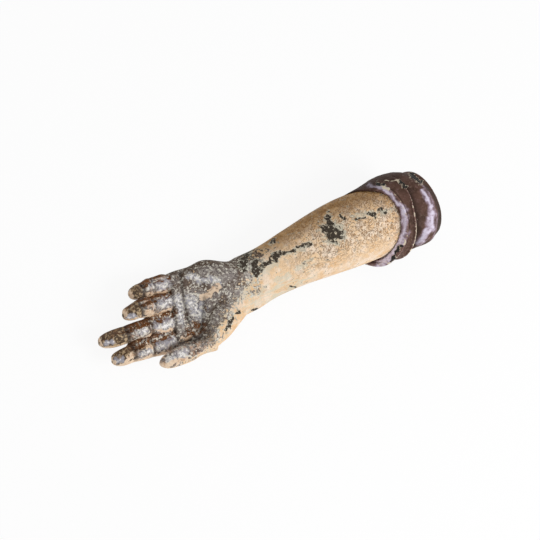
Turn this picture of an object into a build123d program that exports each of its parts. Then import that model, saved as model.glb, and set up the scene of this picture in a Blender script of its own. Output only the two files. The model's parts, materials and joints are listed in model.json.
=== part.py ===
"""Carved and painted wooden left forearm: an open hand, a bare forearm and a draped sleeve cuff.

The arm is put together the way a carver builds one. The forearm block runs through the sleeve to a sawn
end, the hand block is dowelled to it at the wrist, the thumb and the four fingers are let into the hand
block on dowels of their own, and the sleeve is two hollowed halves glued and pegged round the shank.

The arm lies on its back with the palm up. +X runs up the arm towards the sawn end, +Y is the little
finger's side, +Z comes out of the palm, and Z = 0 is the table. Millimetres and degrees.
"""

from build123d import *

import math
import os
from dataclasses import dataclass

# Forearm block
FOREARM_LENGTH = 189.0  # wrist joint to sawn end
WRIST_WIDTH = 47.0
WRIST_DEPTH = 34.0
WRIST_CLEARANCE = 2.5  # the wrist's underside above the table
WRIST_WAIST = 1.6  # the forearm is this much slimmer just above the wrist
FOREARM_WIDTH = 62.0  # the muscle, where it enters the sleeve
FOREARM_DEPTH = 56.0
FOREARM_BOW = 3.0  # the muscle swells this far to the little finger's side
SHANK_DIAMETER = 44.0  # round tenon inside the sleeve
SHANK_LENGTH = 31.0
SOCKET_DIAMETER = 16.0  # dowel hole in the sawn end, where the arm was pegged on
SOCKET_DEPTH = 45.0

# Hand block
PALM_LENGTH = 69.5  # wrist joint to the middle of the knuckle line
PALM_DEPTH = 21.0  # at the knuckles
PALM_OFFSET = 5.0  # the knuckle line's middle lies this far to the little finger's side
KNUCKLE_SLANT = 21.0  # the index finger's root is the furthest forward
HEEL_RISE = 4.0  # mound below the little finger
PALM_HOLLOW = 3.0
PAD_RISE = 1.2  # row of pads below the fingers

# Fingers
FINGER_LENGTH = 67.5  # the middle finger, from its seat to its tip
FINGER_WIDTH = 15.6  # its pads, across
FINGER_DEPTH = 16.4  # its pads, from front to back
FINGER_PITCH = 16.2  # along the knuckle line
FINGER_GAP = 0.5  # between two roots
ROOT_SQUARENESS = 1.2  # roots and knuckles are this far from an oval towards a slab
CREASE_WIDTH_SHARE = 0.92  # a crease's section, as a share of the pad before it
CREASE_DEPTH_SHARE = 0.82
SEGMENT_TAPER = 0.95  # each segment is this much slimmer than the one before

# Thumb
THUMB_LENGTH = 50.0
THUMB_SEAT_SETBACK = 15.5  # the seat lies behind the middle of the knuckle line
THUMB_SEAT_OFFSET = 33.3  # the seat's middle, out from the arm's axis
THUMB_SEAT_HEIGHT = 27.0
THUMB_SEAT_WIDTH = 13.0
THUMB_SEAT_DEPTH = 15.6
THUMB_ANGLE = 5.0  # the thumb points in, towards the fingers

# Dowels and pegs
GLUE_GAP = 0.1  # round each dowel, and at its ends
WRIST_DOWEL_DIAMETER = 8.0
WRIST_DOWEL_LENGTH = 44.0
WRIST_DOWEL_PITCH = 18.0
FINGER_DOWEL_DIAMETER = 5.0
FINGER_DOWEL_LENGTH = 22.0
THUMB_DOWEL_DIAMETER = 5.0
THUMB_DOWEL_LENGTH = 22.0
PEG_DIAMETER = 6.0
PEG_LENGTH = 50.0
PEG_PITCH = 28.0
PEG_SETBACK = 14.0  # pegs from the sawn end

# Sleeve
SLEEVE_LENGTH = 57.0  # on the arm's axis
MOUTH_RAKE = 13.6  # the mouth is pushed back by this on the palm's side, and hangs lower on the other
MOUTH_SKEW = 2.7  # the same from the little finger's side to the thumb's
MOUTH_GAP = 0.5  # between the forearm and the sleeve's mouth
FRONT_FOLD_HEIGHT = 7.0  # folds stand this far out of the forearm's line
REAR_FOLD_HEIGHT = 4.8
VALLEY_HEIGHT = 2.0
REAR_RIM_INSET = 1.0  # the sawn rim lies this far inside the forearm's line
REAR_FOLD_LENGTH = 29.5
VALLEY_SKEW = 3.5  # the valley is pushed back by this on the little finger's side
REAR_FOLD_DRIFT = 1.8  # the sawn rim's middle lies this far to the thumb's side
FOLD_LEAN = 0.2  # the front fold is this much fuller on the thumb's side
REAR_FOLD_TRIM = 0.45  # the rear fold is this much flatter on the little finger's side
SLEEVE_FLAT = 0.8  # worn flat on the sleeve's underside

# Shapes, as rows of shares from hand to sawn end or from root to tip
FOREARM_ROWS = (0.0, 0.1, 0.22, 0.36, 0.48, 0.6, 0.74, 0.87, 1.0)  # of the way from wrist to shank
MUSCLE_START = 0.16  # of the same way, where the muscle begins
MUSCLE_RUN = 0.6  # and how far it takes to swell
WAIST_BELL = (0.17, 0.12)  # middle and spread of the slim place, of the same way
PALM_ROWS = (0.0, 0.16, 0.34, 0.54, 0.76, 0.9, 1.0)  # of the palm's length
HEEL_BELLS = ((0.3, 0.25), (0.55, 0.5))  # middle and spread along the palm, then across its half width
HOLLOW_BELLS = ((0.62, 0.22), (0.0, 0.45))
PADS_BELL = (0.88, 0.1)
LITTLE_EDGE_RUN = 0.5  # of the palm's length, to its full width on the little finger's side
BALL_START_OFFSET = 1 / 6  # of the wrist's width, from its middle to the ball of the thumb
FINGER_TIP_ROWS = ((0.4, 1.0), (0.7, 0.88), (0.9, 0.58), (1.0, 0.2))  # of the last segment, of its pad
THUMB_ROOT_ROWS = ((0.0, 1.0, 1.0), (0.14, 0.96, 0.96), (0.3, 1.12, 0.9))  # of length, width and depth
THUMB_TIP_ROWS = ((0.56, 1.3, 0.94), (0.76, 1.12, 0.8), (0.93, 0.72, 0.5), (1.0, 0.22, 0.16))
THUMB_BALL_ROWS = (  # of the way out to the seat along X, across Y, and of the seat's width and depth
    (0.04, 0.0, 1.9, 1.5),
    (0.28, 0.09, 2.45, 1.73),
    (0.52, 0.31, 2.43, 1.42),
    (0.74, 0.51, 2.26, 1.22),
    (0.88, 0.68, 1.84, 1.08),
    (1.0, 1.0, 1.0, 1.0),
)
THUMB_WEB_ROWS = (  # ahead and in by the seat's width, below by its depth, then width and depth
    (-0.6, 0.54, 0.7, 1.54, 1.28),
    (0.3, 0.58, 0.77, 1.15, 1.03),
    (0.9, 0.7, 0.9, 0.46, 0.58),
)
FRONT_FOLD_ROWS = ((0.0, 0.46), (0.1, 0.66), (0.34, 0.64), (0.64, 0.82), (0.88, 1.0))  # of length, height
REAR_FOLD_ROWS = ((0.3, 0.56), (0.52, 0.86), (0.72, 1.0))
CURVE_POINTS = 16  # points round a carved section

# Places that follow from the sizes above
FOREARM_SHOULDER = FOREARM_LENGTH - SHANK_LENGTH
WRIST_AXIS = WRIST_CLEARANCE + WRIST_DEPTH / 2
SLEEVE_AXIS = FOREARM_DEPTH / 2 + FRONT_FOLD_HEIGHT - SLEEVE_FLAT
MOUTH_PLACE = FOREARM_LENGTH - SLEEVE_LENGTH
VALLEY_PLACE = FOREARM_LENGTH - REAR_FOLD_LENGTH
PALM_WIDTH = 4 * FINGER_PITCH
FINGER_AXIS = PALM_DEPTH / 2
ROOT_WIDTH = FINGER_PITCH - FINGER_GAP
ROOT_DEPTH = PALM_DEPTH - FINGER_GAP
THUMB_SEAT = Vector(THUMB_SEAT_SETBACK - PALM_LENGTH, -THUMB_SEAT_OFFSET, THUMB_SEAT_HEIGHT)


@dataclass
class Finger:
    """One carved finger of three segments."""

    name: str
    place: float  # along the knuckle line, in finger pitches from its middle
    splay: float  # to the little finger's side
    segments: tuple  # shares of the middle finger's length
    lifts: tuple  # each segment's lift from the level
    girth: float  # share of the middle finger's pads


FINGERS = (
    Finger("index", -1.5, 8.5, (0.373, 0.23, 0.27), (18.0, 1.0, -5.0), 0.995),
    Finger("middle", -0.5, 9.5, (0.37, 0.292, 0.338), (19.0, 0.0, -8.0), 1.0),
    Finger("ring", 0.5, 10.0, (0.353, 0.203, 0.21), (23.0, 24.0, 5.0), 0.985),
    Finger("little", 1.5, 9.0, (0.293, 0.142, 0.148), (22.0, 16.0, -4.0), 0.9),
)


def ease(share):
    """Smooth run from 0 to 1, held level outside."""
    share = min(1.0, max(0.0, share))
    return share * share * (3 - 2 * share)


def blend(start, end, share):
    """Value on the smooth way from start to end."""
    return start + (end - start) * ease(share)


def bell(place, middle, spread):
    """Rounded mound of height 1."""
    return math.exp(-(((place - middle) / spread) ** 2))


def mound(along, across, bells):
    """Mound of height 1 that is a bell along the hand and a bell across it."""
    return bell(along, *bells[0]) * bell(across, *bells[1])


def rounded_points(squareness=0.0):
    """Points round a unit circle that is pressed towards a square."""
    power = 2 / (2 + squareness)
    points = []
    for i in range(CURVE_POINTS):
        angle = 2 * math.pi * i / CURVE_POINTS
        across = math.copysign(abs(math.cos(angle)) ** power, math.cos(angle))
        up = math.copysign(abs(math.sin(angle)) ** power, math.sin(angle))
        points.append((across, up))
    return points


def closed_face(points):
    """Flat face inside a smooth closed curve."""
    return Face(Wire([Spline(*points, periodic=True)]))


def oval(plane, width, depth, squareness=0.0):
    """Oval section of a limb on a plane."""
    return closed_face(
        [
            plane.from_local_coords((width / 2 * across, depth / 2 * up, 0))
            for across, up in rounded_points(squareness)
        ]
    )


def section_plane(middle, direction):
    """Plane across a limb that points along its z. Its x is level and its y is on the palm's side."""
    direction = Vector(direction).normalized()
    across = Vector(0, 0, 1).cross(direction).normalized()
    return Plane(origin=middle, x_dir=across, z_dir=direction)


def pointing(splay, lift=0.0):
    """Way to the fingertips, turned to the little finger's side and lifted off the level."""
    aside = math.radians(splay)
    rise = math.radians(lift)
    return Vector(
        -math.cos(rise) * math.cos(aside), math.cos(rise) * math.sin(aside), math.sin(rise)
    )


def rod(middle, direction, diameter, length):
    """Round rod about its middle."""
    return Plane(origin=middle, z_dir=direction) * Cylinder(diameter / 2, length)


def hole_for(middle, direction, diameter, length):
    """Hole for such a rod, with the glue's gap round it and at its ends."""
    return rod(middle, direction, diameter + 2 * GLUE_GAP, length + 2 * GLUE_GAP)


# Rods, each as middle, direction, diameter and length


def wrist_dowels():
    """The two dowels across the wrist joint."""
    size = (WRIST_DOWEL_DIAMETER, WRIST_DOWEL_LENGTH)
    places = [Vector(0, side * WRIST_DOWEL_PITCH / 2, WRIST_AXIS) for side in (-1, 1)]
    return [(place, (1, 0, 0), *size) for place in places]


def sleeve_pegs():
    """The two upright pegs through the sleeve and the shank, one each side of the dowel socket."""
    along = FOREARM_LENGTH - PEG_SETBACK
    places = [Vector(along, side * PEG_PITCH / 2, SLEEVE_AXIS) for side in (-1, 1)]
    return [(place, (0, 0, 1), PEG_DIAMETER, PEG_LENGTH) for place in places]


def finger_dowel(finger):
    """The dowel in a finger's root, square to the knuckle face."""
    seat = finger_seat(finger)
    return seat.origin, seat.z_dir, FINGER_DOWEL_DIAMETER, FINGER_DOWEL_LENGTH


def thumb_dowel():
    """The dowel in the thumb's seat."""
    return THUMB_SEAT, pointing(THUMB_ANGLE), THUMB_DOWEL_DIAMETER, THUMB_DOWEL_LENGTH


# Forearm


def forearm_loft(gap=0.0):
    """Muscle of the forearm from the wrist joint to the shank's shoulder, grown by a gap."""
    sections = []
    for share in FOREARM_ROWS:
        swell = (share - MUSCLE_START) / MUSCLE_RUN
        width = blend(WRIST_WIDTH, FOREARM_WIDTH, swell) - WRIST_WAIST * bell(share, *WAIST_BELL)
        depth = blend(WRIST_DEPTH, FOREARM_DEPTH, swell)
        bow = FOREARM_BOW * math.sin(math.pi * share)
        height = WRIST_AXIS + (SLEEVE_AXIS - WRIST_AXIS) * share
        plane = section_plane(Vector(FOREARM_SHOULDER * share, bow, height), pointing(0))
        sections.append(oval(plane, width + 2 * gap, depth + 2 * gap))
    return loft(sections)


def shank(length, diameter):
    """Round tenon that ends at the sawn end."""
    middle = Vector(FOREARM_LENGTH - length / 2, 0, SLEEVE_AXIS)
    return rod(middle, (1, 0, 0), diameter, length)


def make_forearm():
    """Forearm block with its shank, the socket in its sawn end and its dowel and peg holes."""
    block = forearm_loft() + shank(SHANK_LENGTH, SHANK_DIAMETER)
    block -= shank(SOCKET_DEPTH, SOCKET_DIAMETER)
    for fitting in wrist_dowels() + sleeve_pegs():
        block -= hole_for(*fitting)
    return block


# Hand block


def palm_section(share):
    """Section of the hand block, from the wrist joint at 0 to the knuckle line at 1."""
    half_knuckles = PALM_WIDTH / 2 * math.cos(math.radians(KNUCKLE_SLANT))
    little_edge = blend(WRIST_WIDTH / 2, half_knuckles + PALM_OFFSET, share / LITTLE_EDGE_RUN)
    thumb_edge = blend(WRIST_WIDTH / 2, half_knuckles - PALM_OFFSET, share)
    depth = blend(WRIST_DEPTH, PALM_DEPTH, share)
    height = blend(WRIST_AXIS, FINGER_AXIS, share)
    slope = math.tan(math.radians(KNUCKLE_SLANT)) * ease(share)
    points = []
    for across, up in rounded_points(ROOT_SQUARENESS * ease(share)):
        y = (little_edge - thumb_edge) / 2 + (little_edge + thumb_edge) / 2 * across
        z = height + depth / 2 * up
        palm_side = max(0.0, up)
        z += HEEL_RISE * mound(share, across, HEEL_BELLS) * palm_side
        z -= PALM_HOLLOW * mound(share, across, HOLLOW_BELLS) * palm_side
        z += PAD_RISE * bell(share, *PADS_BELL) * palm_side
        points.append((slope * (y - PALM_OFFSET) - PALM_LENGTH * share, y, z))
    return closed_face(points)


def thumb_ball():
    """Ball of the thumb, from inside the wrist to the thumb's seat."""
    start = Vector(0, -WRIST_WIDTH * BALL_START_OFFSET, WRIST_AXIS)
    sections = []
    for along, out, width, depth in THUMB_BALL_ROWS:
        middle = Vector(
            start.X + (THUMB_SEAT.X - start.X) * along,
            start.Y + (THUMB_SEAT.Y - start.Y) * out,
            start.Z + (THUMB_SEAT.Z - start.Z) * along,
        )
        plane = section_plane(middle, pointing(THUMB_ANGLE))
        sections.append(oval(plane, THUMB_SEAT_WIDTH * width, THUMB_SEAT_DEPTH * depth))
    return loft(sections)


def thumb_web():
    """Web of skin below the thumb, from its ball towards the index finger."""
    sections = []
    for ahead, inward, below, width, depth in THUMB_WEB_ROWS:
        offset = Vector(
            -ahead * THUMB_SEAT_WIDTH, inward * THUMB_SEAT_WIDTH, -below * THUMB_SEAT_DEPTH
        )
        plane = section_plane(THUMB_SEAT + offset, pointing(THUMB_ANGLE))
        sections.append(oval(plane, THUMB_SEAT_WIDTH * width, THUMB_SEAT_DEPTH * depth))
    return loft(sections)


def make_palm():
    """Hand block with the ball and the web of the thumb, hollowed beside the thumb, and its dowel holes."""
    block = loft([palm_section(share) for share in PALM_ROWS]) + thumb_ball() + thumb_web()
    block -= thumb_loft(GLUE_GAP)
    for fitting in wrist_dowels() + [finger_dowel(finger) for finger in FINGERS] + [thumb_dowel()]:
        block -= hole_for(*fitting)
    return block


# Fingers and thumb


def finger_seat(finger):
    """Plane on the knuckle face that a finger's root sits on."""
    slant = math.radians(KNUCKLE_SLANT)
    run = FINGER_PITCH * finger.place
    middle = Vector(
        run * math.sin(slant) - PALM_LENGTH, run * math.cos(slant) + PALM_OFFSET, FINGER_AXIS
    )
    return section_plane(middle, pointing(KNUCKLE_SLANT))


def finger_section(back, direction, width, depth):
    """Oval section that stands on the finger's straight back."""
    plane = section_plane(back, direction)
    return oval(Plane(back + plane.y_dir * depth / 2, plane.x_dir, plane.z_dir), width, depth)


def make_finger(finger):
    """Finger of three segments, each a pad between two creases, with a straight back and a round tip."""
    seat = finger_seat(finger)
    ways = [pointing(finger.splay, lift) for lift in finger.lifts]
    lengths = [FINGER_LENGTH * share for share in finger.segments]
    width = FINGER_WIDTH * finger.girth
    depth = FINGER_DEPTH * finger.girth
    back = Vector(seat.origin) - seat.y_dir * FINGER_DEPTH / 2
    near = oval(seat, ROOT_WIDTH, ROOT_DEPTH, ROOT_SQUARENESS)
    segments = []
    for way, next_way, length in zip(ways, ways[1:], lengths):
        pad = finger_section(back + way * length / 2, way, width, depth)
        back = back + way * length
        crease_size = (width * CREASE_WIDTH_SHARE, depth * CREASE_DEPTH_SHARE)
        crease = finger_section(back, way + next_way, *crease_size)
        segments.append(loft([near, pad, crease]))
        near = crease
        width *= SEGMENT_TAPER
        depth *= SEGMENT_TAPER
    tip = [near]
    middle = back + section_plane(back, ways[-1]).y_dir * depth / 2
    for share, size in FINGER_TIP_ROWS:
        plane = section_plane(middle + ways[-1] * lengths[-1] * share, ways[-1])
        tip.append(oval(plane, width * size, depth * size))
    segments.append(loft(tip))
    return segments[0] + segments[1:] - hole_for(*finger_dowel(finger))


def thumb_loft(gap=0.0):
    """Thumb from its seat to its tip, a root and a broad pad with a crease between, grown by a gap."""
    ahead = pointing(THUMB_ANGLE)

    def section(row):
        along, width, depth = row
        plane = section_plane(THUMB_SEAT + ahead * THUMB_LENGTH * along, ahead)
        return oval(plane, THUMB_SEAT_WIDTH * width + 2 * gap, THUMB_SEAT_DEPTH * depth + 2 * gap)

    root = loft([section(row) for row in THUMB_ROOT_ROWS])
    pad = loft([section(row) for row in (THUMB_ROOT_ROWS[-1], *THUMB_TIP_ROWS)])
    return root + pad


# Sleeve


def fold_section(place, height, rake=0.0, skew=0.0, lean=0.0, trim=0.0, drift=0.0):
    """Closed section of the draped sleeve, on a plane that leans by its rake and skew."""
    half_width = FOREARM_WIDTH / 2
    half_depth = FOREARM_DEPTH / 2
    points = []
    for across, up in rounded_points():
        swell = height * (1 - lean * across - trim * max(0.0, across))
        y = (half_width + swell) * across
        z = (half_depth + swell) * up
        x = place + skew * y / half_width + rake * z / half_depth
        points.append((x, y - drift, SLEEVE_AXIS + z))
    return closed_face(points)


def front_section(share, height):
    """Section of the front fold, from the mouth at 0 to the valley at 1."""
    left = 1 - share
    place = MOUTH_PLACE + (VALLEY_PLACE - MOUTH_PLACE) * share
    skew = MOUTH_SKEW * left + VALLEY_SKEW * share
    return fold_section(place, height, MOUTH_RAKE * left, skew, FOLD_LEAN * left)


def rear_section(share, height):
    """Section of the rear fold, from the valley at 0 to the sawn end at 1."""
    place = VALLEY_PLACE + REAR_FOLD_LENGTH * share
    skew = VALLEY_SKEW * (1 - share)
    return fold_section(place, height, skew=skew, trim=REAR_FOLD_TRIM, drift=REAR_FOLD_DRIFT * share)


def sleeve_outside():
    """Draped outside of the sleeve: a lip, a front fold up to its ridge, a valley and a rear fold."""
    front = [front_section(share, FRONT_FOLD_HEIGHT * rise) for share, rise in FRONT_FOLD_ROWS]
    valley = front_section(1.0, VALLEY_HEIGHT)
    rear = [rear_section(share, REAR_FOLD_HEIGHT * rise) for share, rise in REAR_FOLD_ROWS]
    rim = rear_section(1.0, -REAR_RIM_INSET)
    return loft(front) + loft([front[-1], valley]) + loft([valley, *rear]) + loft([rear[-1], rim])


def make_sleeve():
    """The two sleeve halves, hollowed for the forearm and its shank and split level on the arm's axis."""
    sleeve = sleeve_outside() - forearm_loft(MOUTH_GAP)
    sleeve -= shank(SHANK_LENGTH + MOUTH_GAP, SHANK_DIAMETER + 2 * GLUE_GAP)
    for fitting in sleeve_pegs():
        sleeve -= hole_for(*fitting)
    far = 2 * (FOREARM_LENGTH + FOREARM_WIDTH)
    upper = Pos(0, 0, SLEEVE_AXIS + far / 2) * Box(far, far, far)
    lower = Pos(0, 0, SLEEVE_AXIS / 2) * Box(far, far, SLEEVE_AXIS)
    return sleeve & upper, sleeve & lower


def make_parts():
    """Every piece under its name, where it sits on the arm."""
    parts = {"forearm": make_forearm(), "palm": make_palm()}
    parts["thumb"] = thumb_loft() - hole_for(*thumb_dowel())
    parts["thumb_dowel"] = rod(*thumb_dowel())
    for finger in FINGERS:
        parts[f"{finger.name}_finger"] = make_finger(finger)
        parts[f"{finger.name}_dowel"] = rod(*finger_dowel(finger))
    parts["wrist_dowels"] = Compound([rod(*dowel).solid() for dowel in wrist_dowels()])
    parts["sleeve_palm_half"], parts["sleeve_back_half"] = make_sleeve()
    parts["sleeve_pegs"] = Compound([rod(*peg).solid() for peg in sleeve_pegs()])
    return parts


def main():
    """Builds the pieces, moves the origin to the bottom middle of the whole arm and writes the files."""
    os.makedirs("parts", exist_ok=True)
    parts = make_parts()
    box = Compound(list(parts.values())).bounding_box()
    centre = box.center()
    to_origin = Location((-centre.X, -centre.Y, -box.min.Z))
    for name, part in parts.items():
        export_step(to_origin * part, f"parts/{name}.step")
    socket = to_origin * Pos(FOREARM_LENGTH, 0, SLEEVE_AXIS)
    print("size", box.size, "socket mouth", socket.position, "shift", to_origin.position)


main()
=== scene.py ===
"""Dresses the carved forearm: sculpted skins over its blocks, layers of worn paint, and a plain studio.

The frame is the part's own, with the arm on its back: +X runs up the arm to the sawn end, +Y is the little
finger's side and +Z comes out of the palm. Meshes are in metres. Sculpting and paint masks are worked out
in millimetres, the unit of the carving's own sizes.
"""

import json
import logging
import math
from dataclasses import dataclass
from enum import Enum
from functools import cached_property

import bmesh
import bpy
import numpy as np
from mathutils import Matrix, Vector, noise
from mathutils.bvhtree import BVHTree


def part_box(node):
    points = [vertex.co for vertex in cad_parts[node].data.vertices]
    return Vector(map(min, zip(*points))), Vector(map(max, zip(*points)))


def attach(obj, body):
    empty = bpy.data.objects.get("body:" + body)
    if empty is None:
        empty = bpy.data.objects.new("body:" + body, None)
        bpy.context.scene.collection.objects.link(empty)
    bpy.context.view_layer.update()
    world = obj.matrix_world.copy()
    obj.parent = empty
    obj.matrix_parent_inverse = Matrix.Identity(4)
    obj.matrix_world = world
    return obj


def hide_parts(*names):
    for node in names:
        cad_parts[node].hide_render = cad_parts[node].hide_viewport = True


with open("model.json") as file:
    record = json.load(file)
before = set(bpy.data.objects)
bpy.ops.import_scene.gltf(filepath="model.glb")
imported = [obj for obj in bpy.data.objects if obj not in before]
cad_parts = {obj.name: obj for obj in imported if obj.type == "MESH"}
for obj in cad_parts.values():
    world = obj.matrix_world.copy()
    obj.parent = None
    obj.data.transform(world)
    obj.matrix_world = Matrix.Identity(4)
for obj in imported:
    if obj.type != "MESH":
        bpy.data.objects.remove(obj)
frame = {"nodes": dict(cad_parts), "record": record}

log = logging.getLogger("carved_arm")

MM = 0.001
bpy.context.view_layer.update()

Colour = tuple[float, float, float, float]
Socket = bpy.types.NodeSocket
Value = Socket | float | tuple  # what a node's input takes
Pieces = dict[str, bpy.types.Object]  # objects by their CAD node's name

SAME_POINT = 1e-6  # metres between vertices that are one
ON_FACE = 0.01  # millimetres from a flat face to a vertex of it


def paint(red: int, green: int, blue: int) -> Colour:
    """Shader colour of a colour written as 0 to 255.

    Args:
        red: Red share.
        green: Green share.
        blue: Blue share.

    Returns:
        The colour in linear light.
    """
    shares = []
    for value in (red, green, blue):
        share = value / 255
        # The sRGB curve, with its straight start
        shares.append(share / 12.92 if share <= 0.04045 else ((share + 0.055) / 1.055) ** 2.4)
    return (*shares, 1.0)


def ease(values: np.ndarray, low: float, high: float) -> np.ndarray:
    """Smooth run from 0 at low to 1 at high, for either order of the two.

    Args:
        values: Any numbers.
        low: Where the run starts.
        high: Where it ends.

    Returns:
        Shares from 0 to 1.
    """
    share = np.clip((values - low) / (high - low), 0.0, 1.0)
    return share * share * (3 - 2 * share)


def bell(values: np.ndarray, middle: float | np.ndarray, spread: float) -> np.ndarray:
    """Rounded mound of height 1.

    Args:
        values: Places.
        middle: The mound's top.
        spread: How wide it is.

    Returns:
        Heights from 0 to 1.
    """
    return np.exp(-(((values - middle) / spread) ** 2))


@dataclass(frozen=True)
class Run:
    """Smooth run from 0 at one value to a share at another, in either order."""

    start: float
    end: float
    share: float = 1.0

    def __call__(self, values: np.ndarray) -> np.ndarray:
        """The share at each value."""
        return self.share * ease(values, self.start, self.end)


@dataclass(frozen=True)
class Mound:
    """Rounded mound, by the place of its top, its spread and its height."""

    top: float
    spread: float
    height: float = 1.0

    def __call__(self, values: np.ndarray) -> np.ndarray:
        """The height at each value."""
        return self.height * bell(values, self.top, self.spread)


def unit(vector: np.ndarray) -> np.ndarray:
    """The same way with a length of 1."""
    return vector / np.linalg.norm(vector)


def line_distance(points: np.ndarray, start: np.ndarray, end: np.ndarray) -> np.ndarray:
    """Distance of points from a straight stretch, in as many dimensions as they have.

    Args:
        points: One point per row.
        start: One end of the stretch.
        end: Its other end.

    Returns:
        One distance per point.
    """
    start = np.asarray(start, float)
    run = np.asarray(end, float) - start
    along = np.clip((points - start) @ run / max(run @ run, 1e-9), 0.0, 1.0)
    return np.linalg.norm(points - start - along[:, None] * run, axis=1)


# The carving's sizes that the sculpting follows


WRIST = np.array([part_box("palm")[1].x, frame["record"]["mounts"][0]["pos_m"][1], 0.0]) / MM
SAWN_END = np.array(frame["record"]["mounts"][1]["pos_m"]) / MM
SLEEVE_AXIS = np.array(frame["record"]["mounts"][0]["pos_m"]) / MM


@dataclass(frozen=True)
class PhotoCamera:
    """The photograph's camera, on a frame of 540 by 540 pixels."""

    target: tuple = (-0.562, 2.444, 29.294)  # the point in the frame's middle
    distance: float = 1500.0
    pixel: float = 0.84  # millimetres across a pixel at the target
    frame_size: int = 540
    lift: float = 60.0  # above the horizon, on the fingertips' side
    roll: float = 25.3  # the arm's slope in the frame
    sensor: float = 36.0
    clip_end: float = 20.0

    def axes(self) -> tuple[np.ndarray, np.ndarray, np.ndarray]:
        """Works out how the camera is turned.

        Returns:
            The ways to the frame's right, to its top and back to the camera.
        """
        lift = math.radians(self.lift)
        roll = math.radians(self.roll)
        along = np.array([math.sin(lift), 0.0, math.cos(lift)])
        aside = np.array([0.0, -1.0, 0.0])
        right = math.cos(roll) * along + math.sin(roll) * aside
        up = math.sin(roll) * along - math.cos(roll) * aside
        back = np.array([-math.cos(lift), 0.0, math.sin(lift)])
        return right, up, back

    def pixels(self, points: np.ndarray) -> np.ndarray:
        """Where points are seen.

        Args:
            points: Points in millimetres.

        Returns:
            One pixel per point, across and down.
        """
        right, up, back = self.axes()
        offset = points - np.array(self.target)
        scale = self.distance / (self.distance - offset @ back) / self.pixel
        middle = self.frame_size / 2
        return np.stack([middle + offset @ right * scale, middle - offset @ up * scale], axis=1)

    def build(self) -> bpy.types.Object:
        """Makes the camera and gives it to the scene.

        Returns:
            The camera.
        """
        right, up, back = self.axes()
        data = bpy.data.cameras.new("photo_camera")
        data.sensor_width = self.sensor
        data.lens = self.sensor * self.distance / (self.pixel * self.frame_size)
        data.clip_end = self.clip_end
        camera = bpy.data.objects.new("photo_camera", data)
        turn = Matrix((right, up, back)).transposed().to_4x4()
        place = (np.array(self.target) + self.distance * back) * MM
        camera.matrix_world = Matrix.Translation(place) @ turn
        bpy.context.scene.collection.objects.link(camera)
        bpy.context.scene.camera = camera
        return camera


PHOTO = PhotoCamera()


def pointing(splay: float, lift: float = 0.0) -> np.ndarray:
    """Way to the fingertips.

    Args:
        splay: Turn to the little finger's side in degrees.
        lift: Rise off the level in degrees.

    Returns:
        A way with a length of 1.
    """
    aside = math.radians(splay)
    rise = math.radians(lift)
    return np.array(
        [-math.cos(rise) * math.cos(aside), math.cos(rise) * math.sin(aside), math.sin(rise)]
    )


@dataclass(frozen=True)
class FingerPlan:
    """One finger's straight back and its three segments, as the carver set them out."""

    name: str
    place: float  # along the knuckle line, in pitches from its middle
    splay: float
    segments: tuple[float, float, float]  # shares of the middle finger's length
    lifts: tuple[float, float, float]
    girth: float
    wall: float  # rise of the wall on the little finger's side
    lean: float  # its further rise from the root as far as lean_end
    lean_end: float
    bend: float  # drift to the thumb's side beyond the first joint
    tip_cut: float  # taken off the little finger's side of the tip
    tip_reach: float  # and added to its length

    KNUCKLE_SLANT = 21.0
    PITCH = 16.2
    PALM_LENGTH = 69.5
    PALM_OFFSET = 5.0
    PALM_DEPTH = 21.0
    LENGTH = 67.5
    WIDTH = 15.6
    DEPTH = 16.4

    @property
    def node(self) -> str:
        """The CAD node's name."""
        return f"{self.name}_finger"

    @property
    def seat(self) -> np.ndarray:
        """The middle of the finger's root."""
        slant = math.radians(self.KNUCKLE_SLANT)
        run = self.PITCH * self.place
        along = run * math.sin(slant) - self.PALM_LENGTH
        across = run * math.cos(slant) + self.PALM_OFFSET
        return WRIST + np.array([along, across, self.PALM_DEPTH / 2])

    @property
    def ways(self) -> list[np.ndarray]:
        """The way that each segment points."""
        return [pointing(self.splay, lift) for lift in self.lifts]

    @property
    def backs(self) -> list[np.ndarray]:
        """Root, two joints and tip on the finger's back."""
        points = [self.seat - np.array([0.0, 0.0, self.DEPTH / 2])]
        for way, share in zip(self.ways, self.segments):
            points.append(points[-1] + way * self.LENGTH * share)
        return points

    @property
    def width(self) -> float:
        """The finger's width."""
        return self.WIDTH * self.girth

    @property
    def depth(self) -> float:
        """The finger's depth from back to pad."""
        return self.DEPTH * self.girth

    @property
    def tip_length(self) -> float:
        """The last segment's length."""
        return self.segments[2] * self.LENGTH

    def palm_side(self, way: np.ndarray) -> np.ndarray:
        """The way out of a segment's pad."""
        across = unit(np.cross([0.0, 0.0, 1.0], way))
        return np.cross(way, across)


FINGERS = (
    FingerPlan(
        "index", place=-1.5, splay=8.5, segments=(0.373, 0.23, 0.27), lifts=(18.0, 1.0, -5.0), girth=0.995,
        wall=1.3, lean=2.6, lean_end=40.0, bend=0.2, tip_cut=2.2, tip_reach=0.3,
    ),
    FingerPlan(
        "middle", place=-0.5, splay=9.5, segments=(0.37, 0.292, 0.338), lifts=(19.0, 0.0, -8.0), girth=1.0,
        wall=1.0, lean=2.0, lean_end=24.0, bend=0.8, tip_cut=1.1, tip_reach=0.7,
    ),
    FingerPlan(
        "ring", place=0.5, splay=10.0, segments=(0.353, 0.203, 0.21), lifts=(23.0, 24.0, 5.0), girth=0.985,
        wall=1.3, lean=0.3, lean_end=36.0, bend=0.2, tip_cut=3.3, tip_reach=0.2,
    ),
    FingerPlan(
        "little", place=1.5, splay=9.0, segments=(0.293, 0.142, 0.148), lifts=(22.0, 16.0, -4.0), girth=0.9,
        wall=0.0, lean=2.0, lean_end=22.0, bend=0.0, tip_cut=1.8, tip_reach=0.2,
    ),
)


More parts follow.
